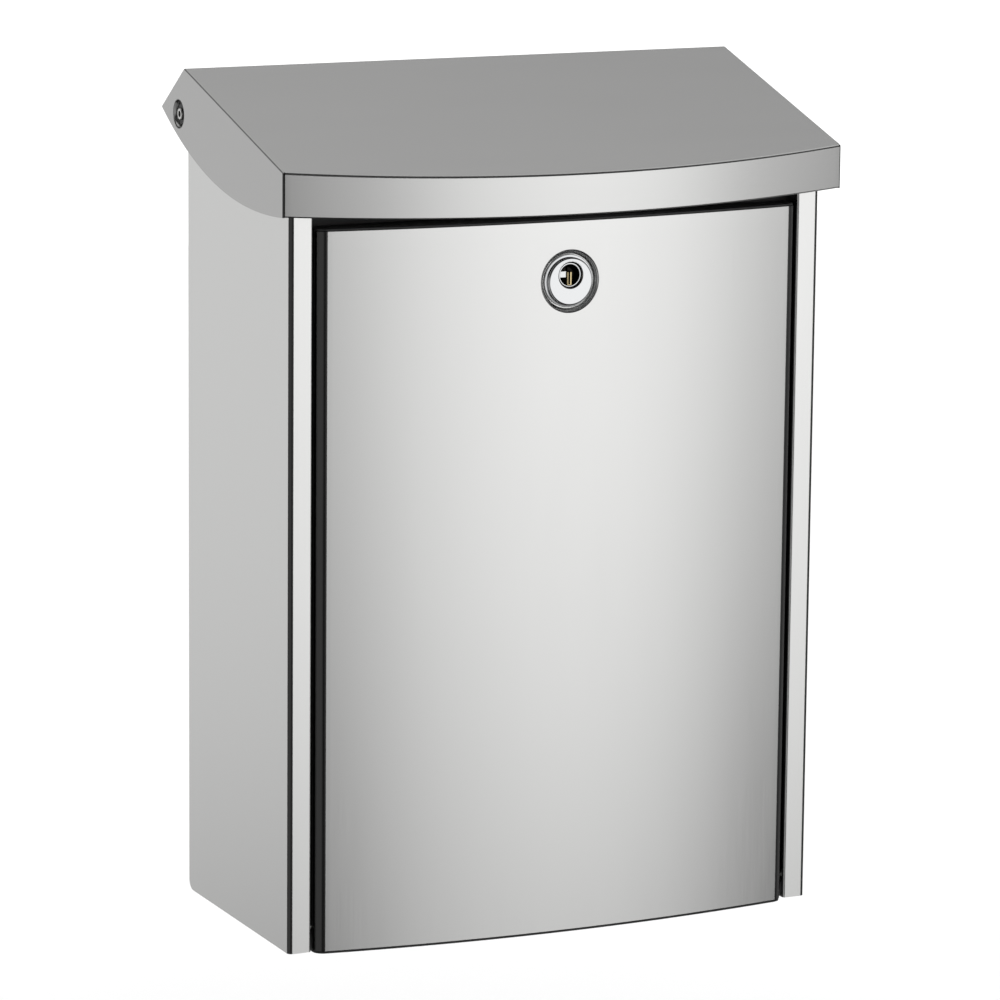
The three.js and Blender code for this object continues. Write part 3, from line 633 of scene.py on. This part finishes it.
class MAILBOX_OT_hood(PieceOperator, bpy.types.Operator):
    """Hood: bowed fascia, roof, back flange and cheeks folded from one sheet, with pressed pivot dimples"""
    bl_idname = "mailbox.hood"
    bl_label = "Hood"

    def build(self, size):
        edge_y = HOOD_LOW.y + size.hood_bow
        foot_z = HOOD_LOW.z + FOOT_SLOPE * size.hood_bow
        plan = BowedPlan(HOOD_HIGH.x, edge_y, size.hood_bow, size.hood_corner)
        spare = 5 * MM  # sheet beyond the outline, which is trimmed off
        hood = plan.band("hood_shell_folded", HEEL.y + spare, HOOD_LOW.z - 4 * spare, RIDGE.z + spare, 5)
        inside = Vector((0, RIDGE.y - 50 * MM, foot_z))
        outward(hood, inside)
        self.trim_outline(hood, edge_y, foot_z)
        self.close_roof(hood)
        outward(hood, inside)
        self.fold_hem(hood, plan, edge_y, foot_z, size)
        self.round_folds(hood, plan, size)
        outward(hood, inside)
        applied(hood, "SOLIDIFY", thickness=size.sheet, offset=-1, use_even_offset=True)
        for side in (1, -1):
            self.press_dimple(hood, side, size)
        smooth(hood)
        # The hood is the panels' steel with a level grain, drawn a little darker: painted shade.
        hood_steel_painted_shade = brushed_steel("brushed stainless, level grain and painted shade", "X", ROOF_PAINTED_SHADE)
        cheek_steel_painted_shade = brushed_steel("brushed stainless, cheek grain and painted shade", "Y", CHEEK_PAINTED_SHADE)
        on_cheek = lambda p: abs(p.x) > plan.half - 1.4 * size.sheet and p.y > edge_y + 0.5 * MM
        in_corner = lambda p: abs(p.x) > plan.corner_x + SLIVER and p.y < plan.corner_y - SLIVER
        settled(hood, "hood", "hood_shell", hood_steel_painted_shade)
        # The cheeks are the hood's steel with its grain running along them, drawn darker than the rest of the
        # hood: painted shade.
        painted(hood, on_cheek, cheek_steel_painted_shade)
        # The fascia's upright corners get a painted dark reflection.
        painted(hood, in_corner, bend_painted_reflection_steel())

    @staticmethod
    def off_roof(p):
        return abs((p - RIDGE).dot(Vector((0, -sin(ROOF_SLOPE), cos(ROOF_SLOPE)))))

    @staticmethod
    def off_back(p):
        fall = HEEL - RIDGE
        return abs((p - RIDGE).dot(Vector((0, -fall.z, fall.y)).normalized()))

    @staticmethod
    def trim_outline(hood, edge_y, foot_z):
        """Cuts the side view's outline: roof, back, fascia's foot and the cheeks' curved lower edge."""
        fall = HEEL - RIDGE
        trim(hood, RIDGE, (0, -sin(ROOF_SLOPE), cos(ROOF_SLOPE)))
        trim(hood, RIDGE, (0, -fall.z, fall.y))
        split(hood, (0, edge_y, 0), (0, 1, 0))
        # The fascia stops a bend's radius above its foot: the hem's bend goes on from there.
        trim(hood, (0, edge_y, foot_z + HEM_BEND), (0, FOOT_SLOPE, -1), lambda p: p.y < edge_y)
        start = Vector((0, edge_y, foot_z))
        pull = Vector((0, PANEL_HIGH.y, foot_z)) + CHEEK_PULL
        count = 28
        for i in range(count + 1):
            t = i / count
            point = start * (1 - t) ** 2 + pull * 2 * t * (1 - t) + HEEL * t * t
            tangent = (pull - start) * (1 - t) + (HEEL - pull) * t
            trim(hood, point, (0, tangent.z, -tangent.y), lambda p: p.y > edge_y)

    def round_folds(self, hood, plan, size):
        """A wider fold along the fascia and the ridge, and a tight one along the cheeks."""
        cheek_share = 0.45  # of the wider fold's width
        on_planes = lambda p: self.off_roof(p) < HAIR or self.off_back(p) < HAIR and p.z > HEEL.z + NEAR
        at_side = lambda p: abs(p.x) > plan.half - NEAR
        pick(hood, lambda p: on_planes(p) and not at_side(p), "EDGE")
        bpy.ops.transform.edge_bevelweight(value=1.0)
        pick(hood, lambda p: on_planes(p) and at_side(p), "EDGE")
        bpy.ops.transform.edge_bevelweight(value=cheek_share)
        leave_edit()
        applied(hood, "BEVEL", width=size.hood_fold, segments=5, limit_method="WEIGHT",
                use_clamp_overlap=False)

    def close_roof(self, hood):
        """Joins the cheeks across the ridge and the heel, and fills the roof and the back flange."""
        for end in (RIDGE, HEEL):
            pick(hood, lambda p: abs(p.y - end.y) < NEAR and abs(p.z - end.z) < NEAR)
            bpy.ops.mesh.edge_face_add()
        for off_plane in (self.off_roof, self.off_back):
            pick(hood, lambda p: off_plane(p) < HAIR, "EDGE")
            bpy.ops.mesh.edge_face_add()

    @staticmethod
    def fold_hem(hood, plan, edge_y, foot_z, size):
        """Folds the fascia's foot back under it, step by step, with the hem's slope kept."""
        radius = HEM_BEND
        pick(hood, lambda p: p.y < edge_y - HAIR and
             abs(p.z - foot_z - radius - FOOT_SLOPE * (p.y - edge_y)) < 2 * HAIR, "EDGE")
        inset, lift = 0.0, radius
        steps = [(radius * (1 - cos(a)), radius * (1 - sin(a))) for a in (pi / 8, pi / 4, 3 * pi / 8, pi / 2)]
        for new_inset, new_lift in steps + [(size.hem + size.sheet, 0.0)]:
            gone = new_inset - inset
            run(0, 0, new_lift - lift + FOOT_SLOPE * gone)
            ratio = (plan.radius - new_inset) / (plan.radius - inset)
            bpy.ops.transform.resize(value=(ratio, ratio, 1), center_override=(0, plan.centre_y, 0))
            inset, lift = new_inset, new_lift

    @staticmethod
    def press_dimple(hood, side, size):
        """A round dimple in the cheek: its back is added, its hollow and the pivot's hole are cut."""
        half, place = HOOD_HIGH.x, (0, PIVOT.y, PIVOT.z)
        floor_x, wide, narrow, thick = half - 2.5 * MM, 6.3 * MM, 5.5 * MM, size.sheet
        hole, deep = 4 * MM, 5 * MM
        flare = (wide - narrow) / (half - floor_x)
        over = 0.2 * MM
        tools = (
            ("UNION", [(narrow + thick, floor_x - thick), (wide + thick, half - thick + 0.01 * MM)]),
            ("DIFFERENCE", [(narrow, floor_x), (wide + flare * over, half + over)]),
            ("DIFFERENCE", [(hole, floor_x - deep), (hole, half + deep)]),
        )
        for operation, (first, last) in tools:
            profile = [(0, side * first[1]), (first[0], side * first[1]),
                       (last[0], side * last[1]), (0, side * last[1])]
            cut(hood, lathe("press", profile, place, "X"), operation)
        outer_round, inner_round = 1.2 * MM, 0.5 * MM
        for radius, x, width in ((wide, half, outer_round), (wide + 0.9 * thick, half - thick, inner_round)):
            pick(hood, lambda p: abs(p.x * side - x) < NEAR and
                 abs(hypot(p.y - PIVOT.y, p.z - PIVOT.z) - radius) < 0.15 * MM, "EDGE")
            bpy.ops.mesh.bevel(offset=width, segments=5, affect="EDGES")
        leave_edit()


class MAILBOX_OT_door_skin(PieceOperator, bpy.types.Operator):
    """Door skin: a bowed sheet wrapped round the frame's edges, with the lock's pressed recess"""
    bl_idname = "mailbox.door_skin"
    bl_label = "Door skin"

    def build(self, size):
        square = 8  # edges of the bow in half of the square opening round the recess
        spare = 3 * MM  # sheet beyond the side's end, which is trimmed off
        plan = BowedPlan(FRAME_HIGH.x, SKIN_LOW.y + size.door_bow, size.door_bow, size.door_corner)
        skin = plan.band("door_skin_pressed", plan.corner_y + spare, SKIN_LOW.z, SKIN_HIGH.z, 12)
        inside = Vector((0, SKIN_HIGH.y + 50 * MM, 0))
        outward(skin, inside)
        # The sheet stops before the round is complete.
        trim(skin, (0, SKIN_HIGH.y, 0), (0, 1, 0))
        reach = plan.radius * sin(square * 2 * plan.angle / BOW_STEPS)
        for i in range(-square, square + 1):
            split(skin, (0, 0, LOCK_Z + reach * i / square), (0, 0, 1))
        pick(skin, lambda p: max(abs(p.x), abs(p.z - LOCK_Z)) < reach, "FACE")
        bpy.ops.mesh.delete(type="FACE")
        loops = self.recess_loops(size)
        self.rim_circle(skin, plan, loops[0][0], reach, 8 * square)
        self.press_recess(skin, loops, size)
        leave_edit()
        outward(skin, inside)
        applied(skin, "SOLIDIFY", thickness=size.skin, offset=-1, use_even_offset=True)
        broken_edges(skin, size.edge)
        smooth(skin)
        settled(skin, "door", "door_skin", finishes()["brushed_steel"])
        # The front part of the corner's round still mirrors what the front does; the rest of the round gets a
        # painted dark reflection.
        front_part = 0.9 * MM
        painted(skin, lambda p: abs(p.x) > plan.corner_x + front_part, bend_painted_reflection_steel())

    @staticmethod
    def recess_loops(size):
        """(radius, depth) loops: a rounded shoulder, the sloping wall and a rounded foot."""
        wall = radians(61.7)
        shoulder, toe = 1.2 * MM, 0.8 * MM
        at = lambda depth: size.recess - depth / tan(wall)
        shoulder_depth = shoulder * (1 - cos(wall))
        start = at(shoulder_depth) + shoulder * sin(wall)
        toe_depth = size.recess_depth - toe * (1 - cos(wall))
        foot = at(toe_depth) - toe * sin(wall)
        down = [(start - shoulder * sin(wall * i / 5), shoulder * (1 - cos(wall * i / 5))) for i in range(6)]
        up = [(foot + toe * sin(wall * i / 4), size.recess_depth - toe * (1 - cos(wall * i / 4)))
              for i in range(4, -1, -1)]
        return down + up

    @staticmethod
    def rim_circle(skin, plan, radius, reach, count):
        """Joins a circle that lies on the bowed front to the square opening round it."""
        away = SKIN_LOW.y - 100 * MM
        bpy.ops.mesh.select_all(action="DESELECT")
        bpy.ops.mesh.primitive_circle_add(vertices=count, radius=radius, location=(0, away, LOCK_Z),
                                          rotation=(pi / 2, 0, 0))
        for i in range(count // 4 + 1):
            x = radius * sin(2 * pi * i / count)
            pick(skin, lambda p: p.y < away + MM and abs(abs(p.x) - x) < HAIR)
            bpy.ops.transform.translate(value=(0, plan.y(x) - away, 0))
        pick(skin, lambda p: hypot(p.x, p.z - LOCK_Z) < radius or
             abs(max(abs(p.x), abs(p.z - LOCK_Z)) - reach) < HAIR, "EDGE")
        bpy.ops.mesh.bridge_edge_loops()

    @staticmethod
    def press_recess(skin, loops, size):
        """Draws the recess in loop by loop, with a flat floor and the barrel's hole."""
        centre = Vector((0, 0, LOCK_Z))
        pick(skin, lambda p: hypot(p.x, p.z - LOCK_Z) < loops[0][0], "EDGE")
        for (radius, depth), (new_radius, new_depth) in zip(loops, loops[1:]):
            run(0, new_depth - depth, 0)
            ratio = new_radius / radius
            bpy.ops.transform.resize(value=(ratio, 1, ratio), center_override=centre)
        floor_y = SKIN_LOW.y + size.recess_depth
        bpy.ops.transform.resize(value=(1, 0, 1), center_override=(0, floor_y, LOCK_Z))
        run(0, 0, 0)
        ratio = BARREL_HOLE / loops[-1][0]
        bpy.ops.transform.resize(value=(ratio, 1, ratio), center_override=centre)
        bpy.ops.transform.translate(value=(0, 0, PLUG_Z - LOCK_Z))


class MAILBOX_OT_door_frame(PieceOperator, bpy.types.Operator):
    """Moulded door frame: a ring behind the skin with lips above and below it, a web and the lock's boss"""
    bl_idname = "mailbox.door_frame"
    bl_label = "Door frame"

    def build(self, size):
        fit, skin = size.fit, size.skin
        rear = FRAME_HIGH.y
        wrap_back = SKIN_HIGH.y + fit
        low, high = FRAME_LOW.z, FRAME_HIGH.z
        edge_y = SKIN_LOW.y + size.door_bow
        lip_round, back_round, clear = 0.22 * MM, 0.7 * MM, 4 * MM
        made = self.slab("door_frame_moulded", FRAME_HIGH.x, edge_y, size, fit, rear - WEB, low, high)
        broken_edges(made, lip_round, 40, 3)
        # The skin's seat: a band that is wider than the door, less the core that stays.
        band = self.slab("band", FRAME_HIGH.x + clear, edge_y - clear, size, 0, wrap_back,
                         SKIN_LOW.z - fit, SKIN_HIGH.z + fit)
        cut(band, self.slab("core", FRAME_HIGH.x, edge_y, size, skin + fit, rear, low, high))
        cut(made, band)
        half = FRAME_HIGH.x
        back = block("back", (-half, wrap_back, low), (half, rear, high))
        broken_edges(back, back_round, 40, 3)
        cut(made, back, "UNION")
        wall = 5 * MM
        room = block("room", (wall - half, SKIN_LOW.y - wall, SKIN_LOW.z + wall),
                     (half - wall, rear - WEB, SKIN_HIGH.z - wall))
        cut(made, room)
        boss, seat, seat_depth = 15 * MM, 2.3 * MM, 6.3 * MM
        floor_y = SKIN_LOW.y + size.recess_depth + skin + fit
        cut(made, rod("boss", boss, floor_y, rear - WEB / 2, "Y", (0, 0, PLUG_Z)), "UNION")
        cut(made, rod("bore", BARREL_HOLE, SKIN_LOW.y - wall, rear + wall, "Y", (0, 0, PLUG_Z)))
        for x in (half, -half):
            cut(made, rod("pin_seat", seat, x - seat_depth, x + seat_depth, "X", (0, PIN.y, PIN.z)))
        smooth(made)
        settled(made, "door", "door_frame", finishes()["black_plastic"])

    @staticmethod
    def slab(name, half, edge_y, size, inset, back_y, low, high):
        """A closed solid with the door's bowed plan, set in all round by inset."""
        plan = BowedPlan(half, edge_y, size.door_bow, size.door_corner)
        plan.half = half - inset
        made = plan.band(name, back_y, low, high, 6)
        for end in (low, high):
            pick(made, lambda p: abs(p.z - end) < HAIR, "EDGE")
            bpy.ops.mesh.edge_face_add()
        pick(made, lambda p: p.y > back_y - HAIR, "EDGE")
        bpy.ops.mesh.edge_face_add()
        leave_edit()
        cleaned(made)
        return made


class MAILBOX_OT_lock(PieceOperator, bpy.types.Operator):
    """Lock: rose and polished face on a threaded barrel, with the plug and its keyway"""
    bl_idname = "mailbox.lock"
    bl_label = "Lock"

    def build(self, size):
        face_y = LOCK_LOW.y
        rose_r, rose_depth, face_r = 12.6 * MM, 0.8 * MM, 11.5 * MM
        barrel, bore, clear = 9 * MM, 6 * MM, 5 * MM
        rose_back = SKIN_LOW.y + size.recess_depth - size.fit
        rose_front = rose_back - rose_depth
        profile = [(0, rose_back), (rose_r, rose_back), (rose_r, rose_front), (face_r, rose_front),
                   (face_r, face_y), (0, face_y)]
        body = lathe("lock_body_turned", softened(profile, {2: 0.3 * MM, 4: 0.9 * MM}, 6),
                     (0, 0, LOCK_Z), "Y", 128)
        on_plug = (0, 0, PLUG_Z)
        cut(body, rod("barrel", barrel, (rose_front + rose_back) / 2, LOCK_HIGH.y, "Y", on_plug), "UNION")
        cut(body, rod("bore", bore, face_y - clear, LOCK_HIGH.y + clear, "Y", on_plug))
        over, flare = 0.1 * MM, 0.55 * MM
        mouth = [(0, face_y - over), (bore + flare, face_y - over), (bore, PLUG_LOW.y), (0, PLUG_LOW.y)]
        cut(body, lathe("mouth", mouth, on_plug))
        broken_edges(body, 0.12 * MM)
        smooth(body)
        settled(body, "door", "lock_body", finishes()["lock_chrome"])
        self.build_plug(on_plug)

    @staticmethod
    def build_plug(on_plug):
        """The plug: a bowl with the keyway's tongue and shutter in it, and a square tail for the cam."""
        front, back, tail = PLUG_LOW.y, LOCK_HIGH.y, PLUG_HIGH.y
        radius, half = 5.7 * MM, 3.5 * MM
        bore, bowl = 5.1 * MM, 4.2 * MM
        ring = front + 0.3 * MM
        profile = [(0, front + bowl), (bore - MM, front + bowl), (bore, ring), (radius, ring),
                   (radius, back), (0, back)]
        plug = lathe("lock_plug_turned", softened(profile, {1: 1.2 * MM, 2: 0.2 * MM}), on_plug, "Y", 96)
        cut(plug, block("tail", (-half, back - MM, PLUG_Z - half), (half, tail, PLUG_Z + half)), "UNION")
        # The keyway's tongue stands in the bowl, from the middle down, with the key's slot in it.
        tongue = block("tongue", (-1.2 * MM, front + 0.9 * MM, PLUG_Z - 5.2 * MM),
                       (1.6 * MM, front + 5 * MM, PLUG_Z + 1.6 * MM))
        broken_edges(tongue, 0.5 * MM, 40, 3)
        cut(plug, tongue, "UNION")
        # The key's shutter shows as one flat step left of the tongue.
        step_low = (-4.7 * MM, front + 1.8 * MM, PLUG_Z - 1.2 * MM)
        step_high = (-1.2 * MM, front + 5 * MM, PLUG_Z + 1.6 * MM)
        cut(plug, block("shutter", step_low, step_high), "UNION")
        slot_low = (-0.5 * MM, front - MM, PLUG_Z - 4.6 * MM)
        cut(plug, block("keyway", slot_low, (0.5 * MM, front + 7 * MM, PLUG_Z + 3.4 * MM)))
        tapping, tapping_depth = 2.3 * MM, 8.3 * MM
        cut(plug, rod("tapping", tapping, tail - tapping_depth, tail + MM, "Y", on_plug))
        broken_edges(plug, 0.1 * MM)
        smooth(plug)
        found = finishes()
        settled(plug, "lock", "lock_plug", found["lock_brass"])
        # Painted shade inside its bowl, and bright chrome on its front ring and the shutter.
        dark = grained("brass, painted shade in the bowl", linear("#1C1A18"), 1.0, 0.3, 0.05, 0.6 * MM, 0.01 * MM)
        off = lambda p: hypot(p.x, p.z - PLUG_Z)
        in_bowl = lambda p: off(p) < bore + SLIVER and p.y < front + 7 * MM
        on_tongue = lambda p: (-1.25 * MM < p.x < 1.65 * MM and p.z < PLUG_Z + 1.65 * MM
                               and p.y < front + 1.6 * MM)
        on_step = lambda p: (abs(p.y - step_low[1]) < 0.2 * MM and p.x < -1.2 * MM
                             and abs(p.z - PLUG_Z) < 1.7 * MM)
        on_ring = lambda p: off(p) > bore - SLIVER and p.y < front + 0.8 * MM
        painted(plug, lambda p: in_bowl(p) and not on_tongue(p), dark)
        painted(plug, lambda p: on_step(p) or on_ring(p), found["lock_chrome"])


class MAILBOX_OT_pivots(PieceOperator, bpy.types.Operator):
    """Hood pivots: a flanged bush and a hollow rivet on each side"""
    bl_idname = "mailbox.pivots"
    bl_label = "Hood pivots"

    def build(self, size):
        found = finishes()
        for piece, slot, shape in (("hood_bush", "black_plastic", self.bush),
                                   ("hood_rivet", "bright_steel", self.rivet)):
            low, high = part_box(piece + "_right")
            profile = shape(low.x, high.x, (high.z - low.z) / 2)
            right = lathe(piece + "_right_turned", profile, (0, PIVOT.y, PIVOT.z), "X", closed=True)
            smooth(right)
            left = mirrored_copy(right, piece + "_left_turned")
            smooth(left)
            settled(right, "housing", piece + "_right", found[slot])
            settled(left, "housing", piece + "_left", found[slot])

    @staticmethod
    def bush(inner, outer, radius):
        """Sleeve round the rivet, with a flange at its outer end."""
        hole, sleeve, flange = 2.6 * MM, 3.7 * MM, 0.8 * MM
        head = outer - flange
        profile = [(hole, inner), (sleeve, inner), (sleeve, head), (radius, head), (radius, outer),
                   (hole, outer)]
        return softened(profile, {3: 0.3 * MM, 4: 0.3 * MM})

    @staticmethod
    def rivet(inner, outer, radius):
        """Hollow rivet: a wide tail inside the panel, a shank, and a small head outside."""
        hole, shank, head, flange = 1.4 * MM, 2.3 * MM, 2.9 * MM, 0.7 * MM
        tail_x, head_x = inner + flange, outer - flange
        profile = [(hole, inner), (radius, inner), (radius, tail_x), (shank, tail_x), (shank, head_x),
                   (head, head_x), (head, outer), (hole, outer)]
        return softened(profile, {1: 0.2 * MM, 5: 0.1 * MM, 6: 0.45 * MM, 7: 0.25 * MM}, 5)


class MAILBOX_OT_wall_spacers(PieceOperator, bpy.types.Operator):
    """Four wall spacers round the mounting screws: one turned, the others copied"""
    bl_idname = "mailbox.wall_spacers"
    bl_label = "Wall spacers"

    def build(self, size):
        names = [f"wall_spacer_{row}_{side}" for row in ("lower", "upper") for side in ("left", "right")]
        low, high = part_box(names[0])
        middle = (low + high) / 2
        outer, hole = (high.x - low.x) / 2, 3.25 * MM
        profile = [(hole, low.y), (outer, low.y), (outer, high.y), (hole, high.y)]
        rounds = {0: 0.4 * MM, 1: 0.8 * MM, 2: 0.8 * MM, 3: 0.4 * MM}
        first = lathe(names[0] + "_turned", softened(profile, rounds), (middle.x, 0, middle.z), closed=True)
        smooth(first)
        spacers = [first]
        for name in names[1:]:
            there = sum(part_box(name), Vector()) / 2
            spacers.append(moved_copy(first, name + "_turned", there - middle))
        plastic = finishes()["black_plastic"]
        for name, spacer in zip(names, spacers):
            settled(spacer, "housing", name, plastic)


# The frame's own pieces that stay as they are, with their finishes.
KEPT = {
    "back_plate": "brushed_steel", "floor_tray": "brushed_steel", "slot_crossbar": "black_coating",
    "hood_pad_right": "rubber", "hood_pad_left": "rubber",
    "door_buffer_right": "rubber", "door_buffer_left": "rubber",
    "hood_washer_right": "black_plastic", "hood_washer_left": "black_plastic",
    "hinge_pin_right": "bright_steel", "hinge_pin_left": "bright_steel",
    "lock_nut": "zinc_plate", "lock_cam": "zinc_plate", "cam_screw": "zinc_plate",
}


class MAILBOX_OT_inner_finishes(PieceOperator, bpy.types.Operator):
    """Finishes of the frame's own pieces that stay as they are"""
    bl_idname = "mailbox.inner_finishes"
    bl_label = "Inner pieces' finishes"

    def build(self, size):
        found = finishes()
        for name, slot in KEPT.items():
            piece = frame["nodes"][name]
            for holder in piece.material_slots:
                holder.material = found[slot]


# The studio's lights, as brightness by bearing and by height, in degrees: bearing 0 is +X, 90 is +Y.
STUDIO_LIGHTS = (
    # Pale walls ahead.
    (((-180, 0), (-105, 0), (-98, 0.4), (-92, 0.7), (-84, 0.75), (-60, 0.83), (-54, 0.56), (-47, 0)),
     ((-90, 0), (-20, 0), (-16, 0.14), (-13.2, 0.96), (-10, 1), (10, 1), (22, 0.1), (30, 0))),
    # Their right-hand end, lit less far down.
    (((-180, 0), (-60, 0), (-54, 0.25), (-47, 0.8), (-40, 0.78), (-33, 0.66), (-26, 0.1), (-20, 0)),
     ((-90, 0), (-17, 0), (-14.6, 0.1), (-12.8, 0.9), (-9.5, 1), (10, 1), (22, 0.1), (30, 0))),
    # Soft box ahead on the right.
    (((-180, 0), (-86, 0), (-77, 0.55), (-65, 0.75), (-54, 0.6), (-45, 0)),
     ((-90, 0), (-30, 0), (-21, 0.6), (-15, 0.95), (-11, 1), (10, 1), (22, 0.1), (30, 0))),
    # Soft box behind on the left.
    (((-180, 0), (84, 0), (96, 0.6), (111, 0.93), (122, 0.97), (128, 0)),
     ((-90, 0), (-26, 0), (-19, 0.35), (-14.5, 0.88), (-11, 1), (0, 1), (6, 0.5), (14, 0.05), (22, 0))),
    # High panel behind, which the roof mirrors.
    (((-180, 0), (-20, 0), (10, 1), (168, 1), (180, 0)),
     ((-90, 0), (27, 0), (32, 0.52), (40, 0.62), (50, 0.8), (58, 0.9), (66, 0.05), (90, 0.05))),
    # Dim walls on the left and on the right, which the main view's flat faces don't mirror.
    (((-180, 0.45), (-128, 0.45), (-112, 0), (-30, 0), (-14, 0.45), (56, 0.45), (76, 0), (132, 0),
      (146, 0.45), (180, 0.45)),
     ((-90, 0.4), (-34, 0.8), (-22, 1), (0, 1), (12, 0.15), (22, 0))),
)


class MAILBOX_OT_stage(PieceOperator, bpy.types.Operator):
    """Pale floor, soft studio light and the camera"""
    bl_idname = "mailbox.stage"
    bl_label = "Stage"

    def build(self, size):
        self.floor()
        self.studio()
        self.camera()

    @staticmethod
    def floor():
        clear_selection()
        width = 6.0
        drop = 0.16  # the mailbox hangs this far above the floor
        bpy.ops.mesh.primitive_plane_add(size=width, location=(0, 0, CAD_BOX[0].z - drop))
        floor = placed("studio_floor")
        made, tree = new_material("pale floor paint")
        shader = node(tree, "ShaderNodeBsdfPrincipled", {
            "Base Color": linear(bpy.context.scene.mailbox_finish.floor), "Roughness": 0.9})
        node(tree, "ShaderNodeOutputMaterial", {"Surface": shader.outputs[0]})
        floor.data.materials.append(made)
        floor.visible_glossy = False

    @staticmethod
    def studio():
        """A dark studio with the lights above, as mirrored by the steel, and an even white for all else."""
        scene = bpy.context.scene
        world = bpy.data.worlds.new("studio")
        scene.world = world
        world.use_nodes = True
        tree = world.node_tree
        tree.nodes.clear()
        direction = node(tree, "ShaderNodeTexCoord").outputs["Generated"]
        parts = node(tree, "ShaderNodeSeparateXYZ", {"Vector": direction}).outputs
        turn = node(tree, "ShaderNodeMath", {0: parts["Y"], 1: parts["X"]}, operation="ARCTAN2").outputs[0]
        around = ranged(tree, turn, -pi, pi)
        height = node(tree, "ShaderNodeMath", {0: parts["Z"]}, operation="ARCSINE").outputs[0]
        up = ranged(tree, height, -pi / 2, pi / 2)
        seen = 0.012  # what the dark directions still give
        for by_bearing, by_height in STUDIO_LIGHTS:
            wide = stops(node(tree, "ShaderNodeValToRGB", {"Fac": around}),
                         *[((angle + 180) / 360, value) for angle, value in by_bearing])
            tall = stops(node(tree, "ShaderNodeValToRGB", {"Fac": up}),
                         *[((angle + 90) / 180, value) for angle, value in by_height])
            seen = node(tree, "ShaderNodeMath", {0: wide, 1: tall, 2: seen},
                        operation="MULTIPLY_ADD").outputs[0]
        path = node(tree, "ShaderNodeLightPath")
        white = linear("#FFFFFF")
        mirror = node(tree, "ShaderNodeBackground", {"Color": white, "Strength": seen})
        even_light = 1.2
        plain = node(tree, "ShaderNodeBackground", {"Color": white, "Strength": even_light})
        both = node(tree, "ShaderNodeMixShader", {0: path.outputs["Is Glossy Ray"], 1: plain.outputs[0],
                                                  2: mirror.outputs[0]})
        node(tree, "ShaderNodeOutputWorld", {"Surface": both.outputs[0]})
        scene.view_settings.view_transform = "Standard"
        scene.view_settings.look = "None"

    @staticmethod
    def camera():
        """A long lens from the front left, a little above the mailbox and turned slightly about its axis."""
        data = bpy.data.cameras.new("camera")
        data.lens, data.sensor_width = 191.95, 36
        data.clip_start, data.clip_end = 0.1, 20
        camera = bpy.data.objects.new("camera", data)
        bpy.context.scene.collection.objects.link(camera)
        turn, rise, roll = radians(-24.64), radians(11.19), radians(0.573)
        back = Vector((sin(turn) * cos(rise), -cos(turn) * cos(rise), sin(rise)))
        level = back.to_track_quat("Z", "Y")
        camera.rotation_mode = "QUATERNION"
        camera.rotation_quaternion = level @ Matrix.Rotation(roll, 3, "Z").to_quaternion()
        camera.location = (-1.06636, -2.40919, 0.51390)
        bpy.context.scene.camera = camera


class MAILBOX_PT_pieces(bpy.types.Panel):
    """Lists the mailbox's pieces in the order in which they are built"""
    bl_idname = "MAILBOX_PT_pieces"
    bl_label = "Wall Mailbox"
    bl_space_type = "VIEW_3D"
    bl_region_type = "UI"
    bl_category = "Mailbox"

    def draw(self, context):
        for group in (context.scene.mailbox_sizes, context.scene.mailbox_finish):
            column = self.layout.column(align=True)
            for key in group.__annotations__:
                column.prop(group, key)
        for operator in OPERATORS:
            self.layout.operator(operator.bl_idname)


OPERATORS = (
    MAILBOX_OT_side_panels, MAILBOX_OT_hood, MAILBOX_OT_door_skin, MAILBOX_OT_door_frame, MAILBOX_OT_lock,
    MAILBOX_OT_pivots, MAILBOX_OT_wall_spacers, MAILBOX_OT_inner_finishes, MAILBOX_OT_stage,
)
CLASSES = (MailboxSizes, MailboxFinish, *OPERATORS, MAILBOX_PT_pieces)


def register():
    for each in CLASSES:
        bpy.utils.register_class(each)
    bpy.types.Scene.mailbox_sizes = PointerProperty(type=MailboxSizes)
    bpy.types.Scene.mailbox_finish = PointerProperty(type=MailboxFinish)


def unregister():
    del bpy.types.Scene.mailbox_finish
    del bpy.types.Scene.mailbox_sizes
    for each in reversed(CLASSES):
        bpy.utils.unregister_class(each)


def main():
    register()
    bpy.ops.mailbox.side_panels()
    bpy.ops.mailbox.hood()
    bpy.ops.mailbox.door_skin()
    bpy.ops.mailbox.door_frame()
    bpy.ops.mailbox.lock()
    bpy.ops.mailbox.pivots()
    bpy.ops.mailbox.wall_spacers()
    bpy.ops.mailbox.inner_finishes()
    bpy.ops.mailbox.stage()


if __name__ == "__main__":
    main()
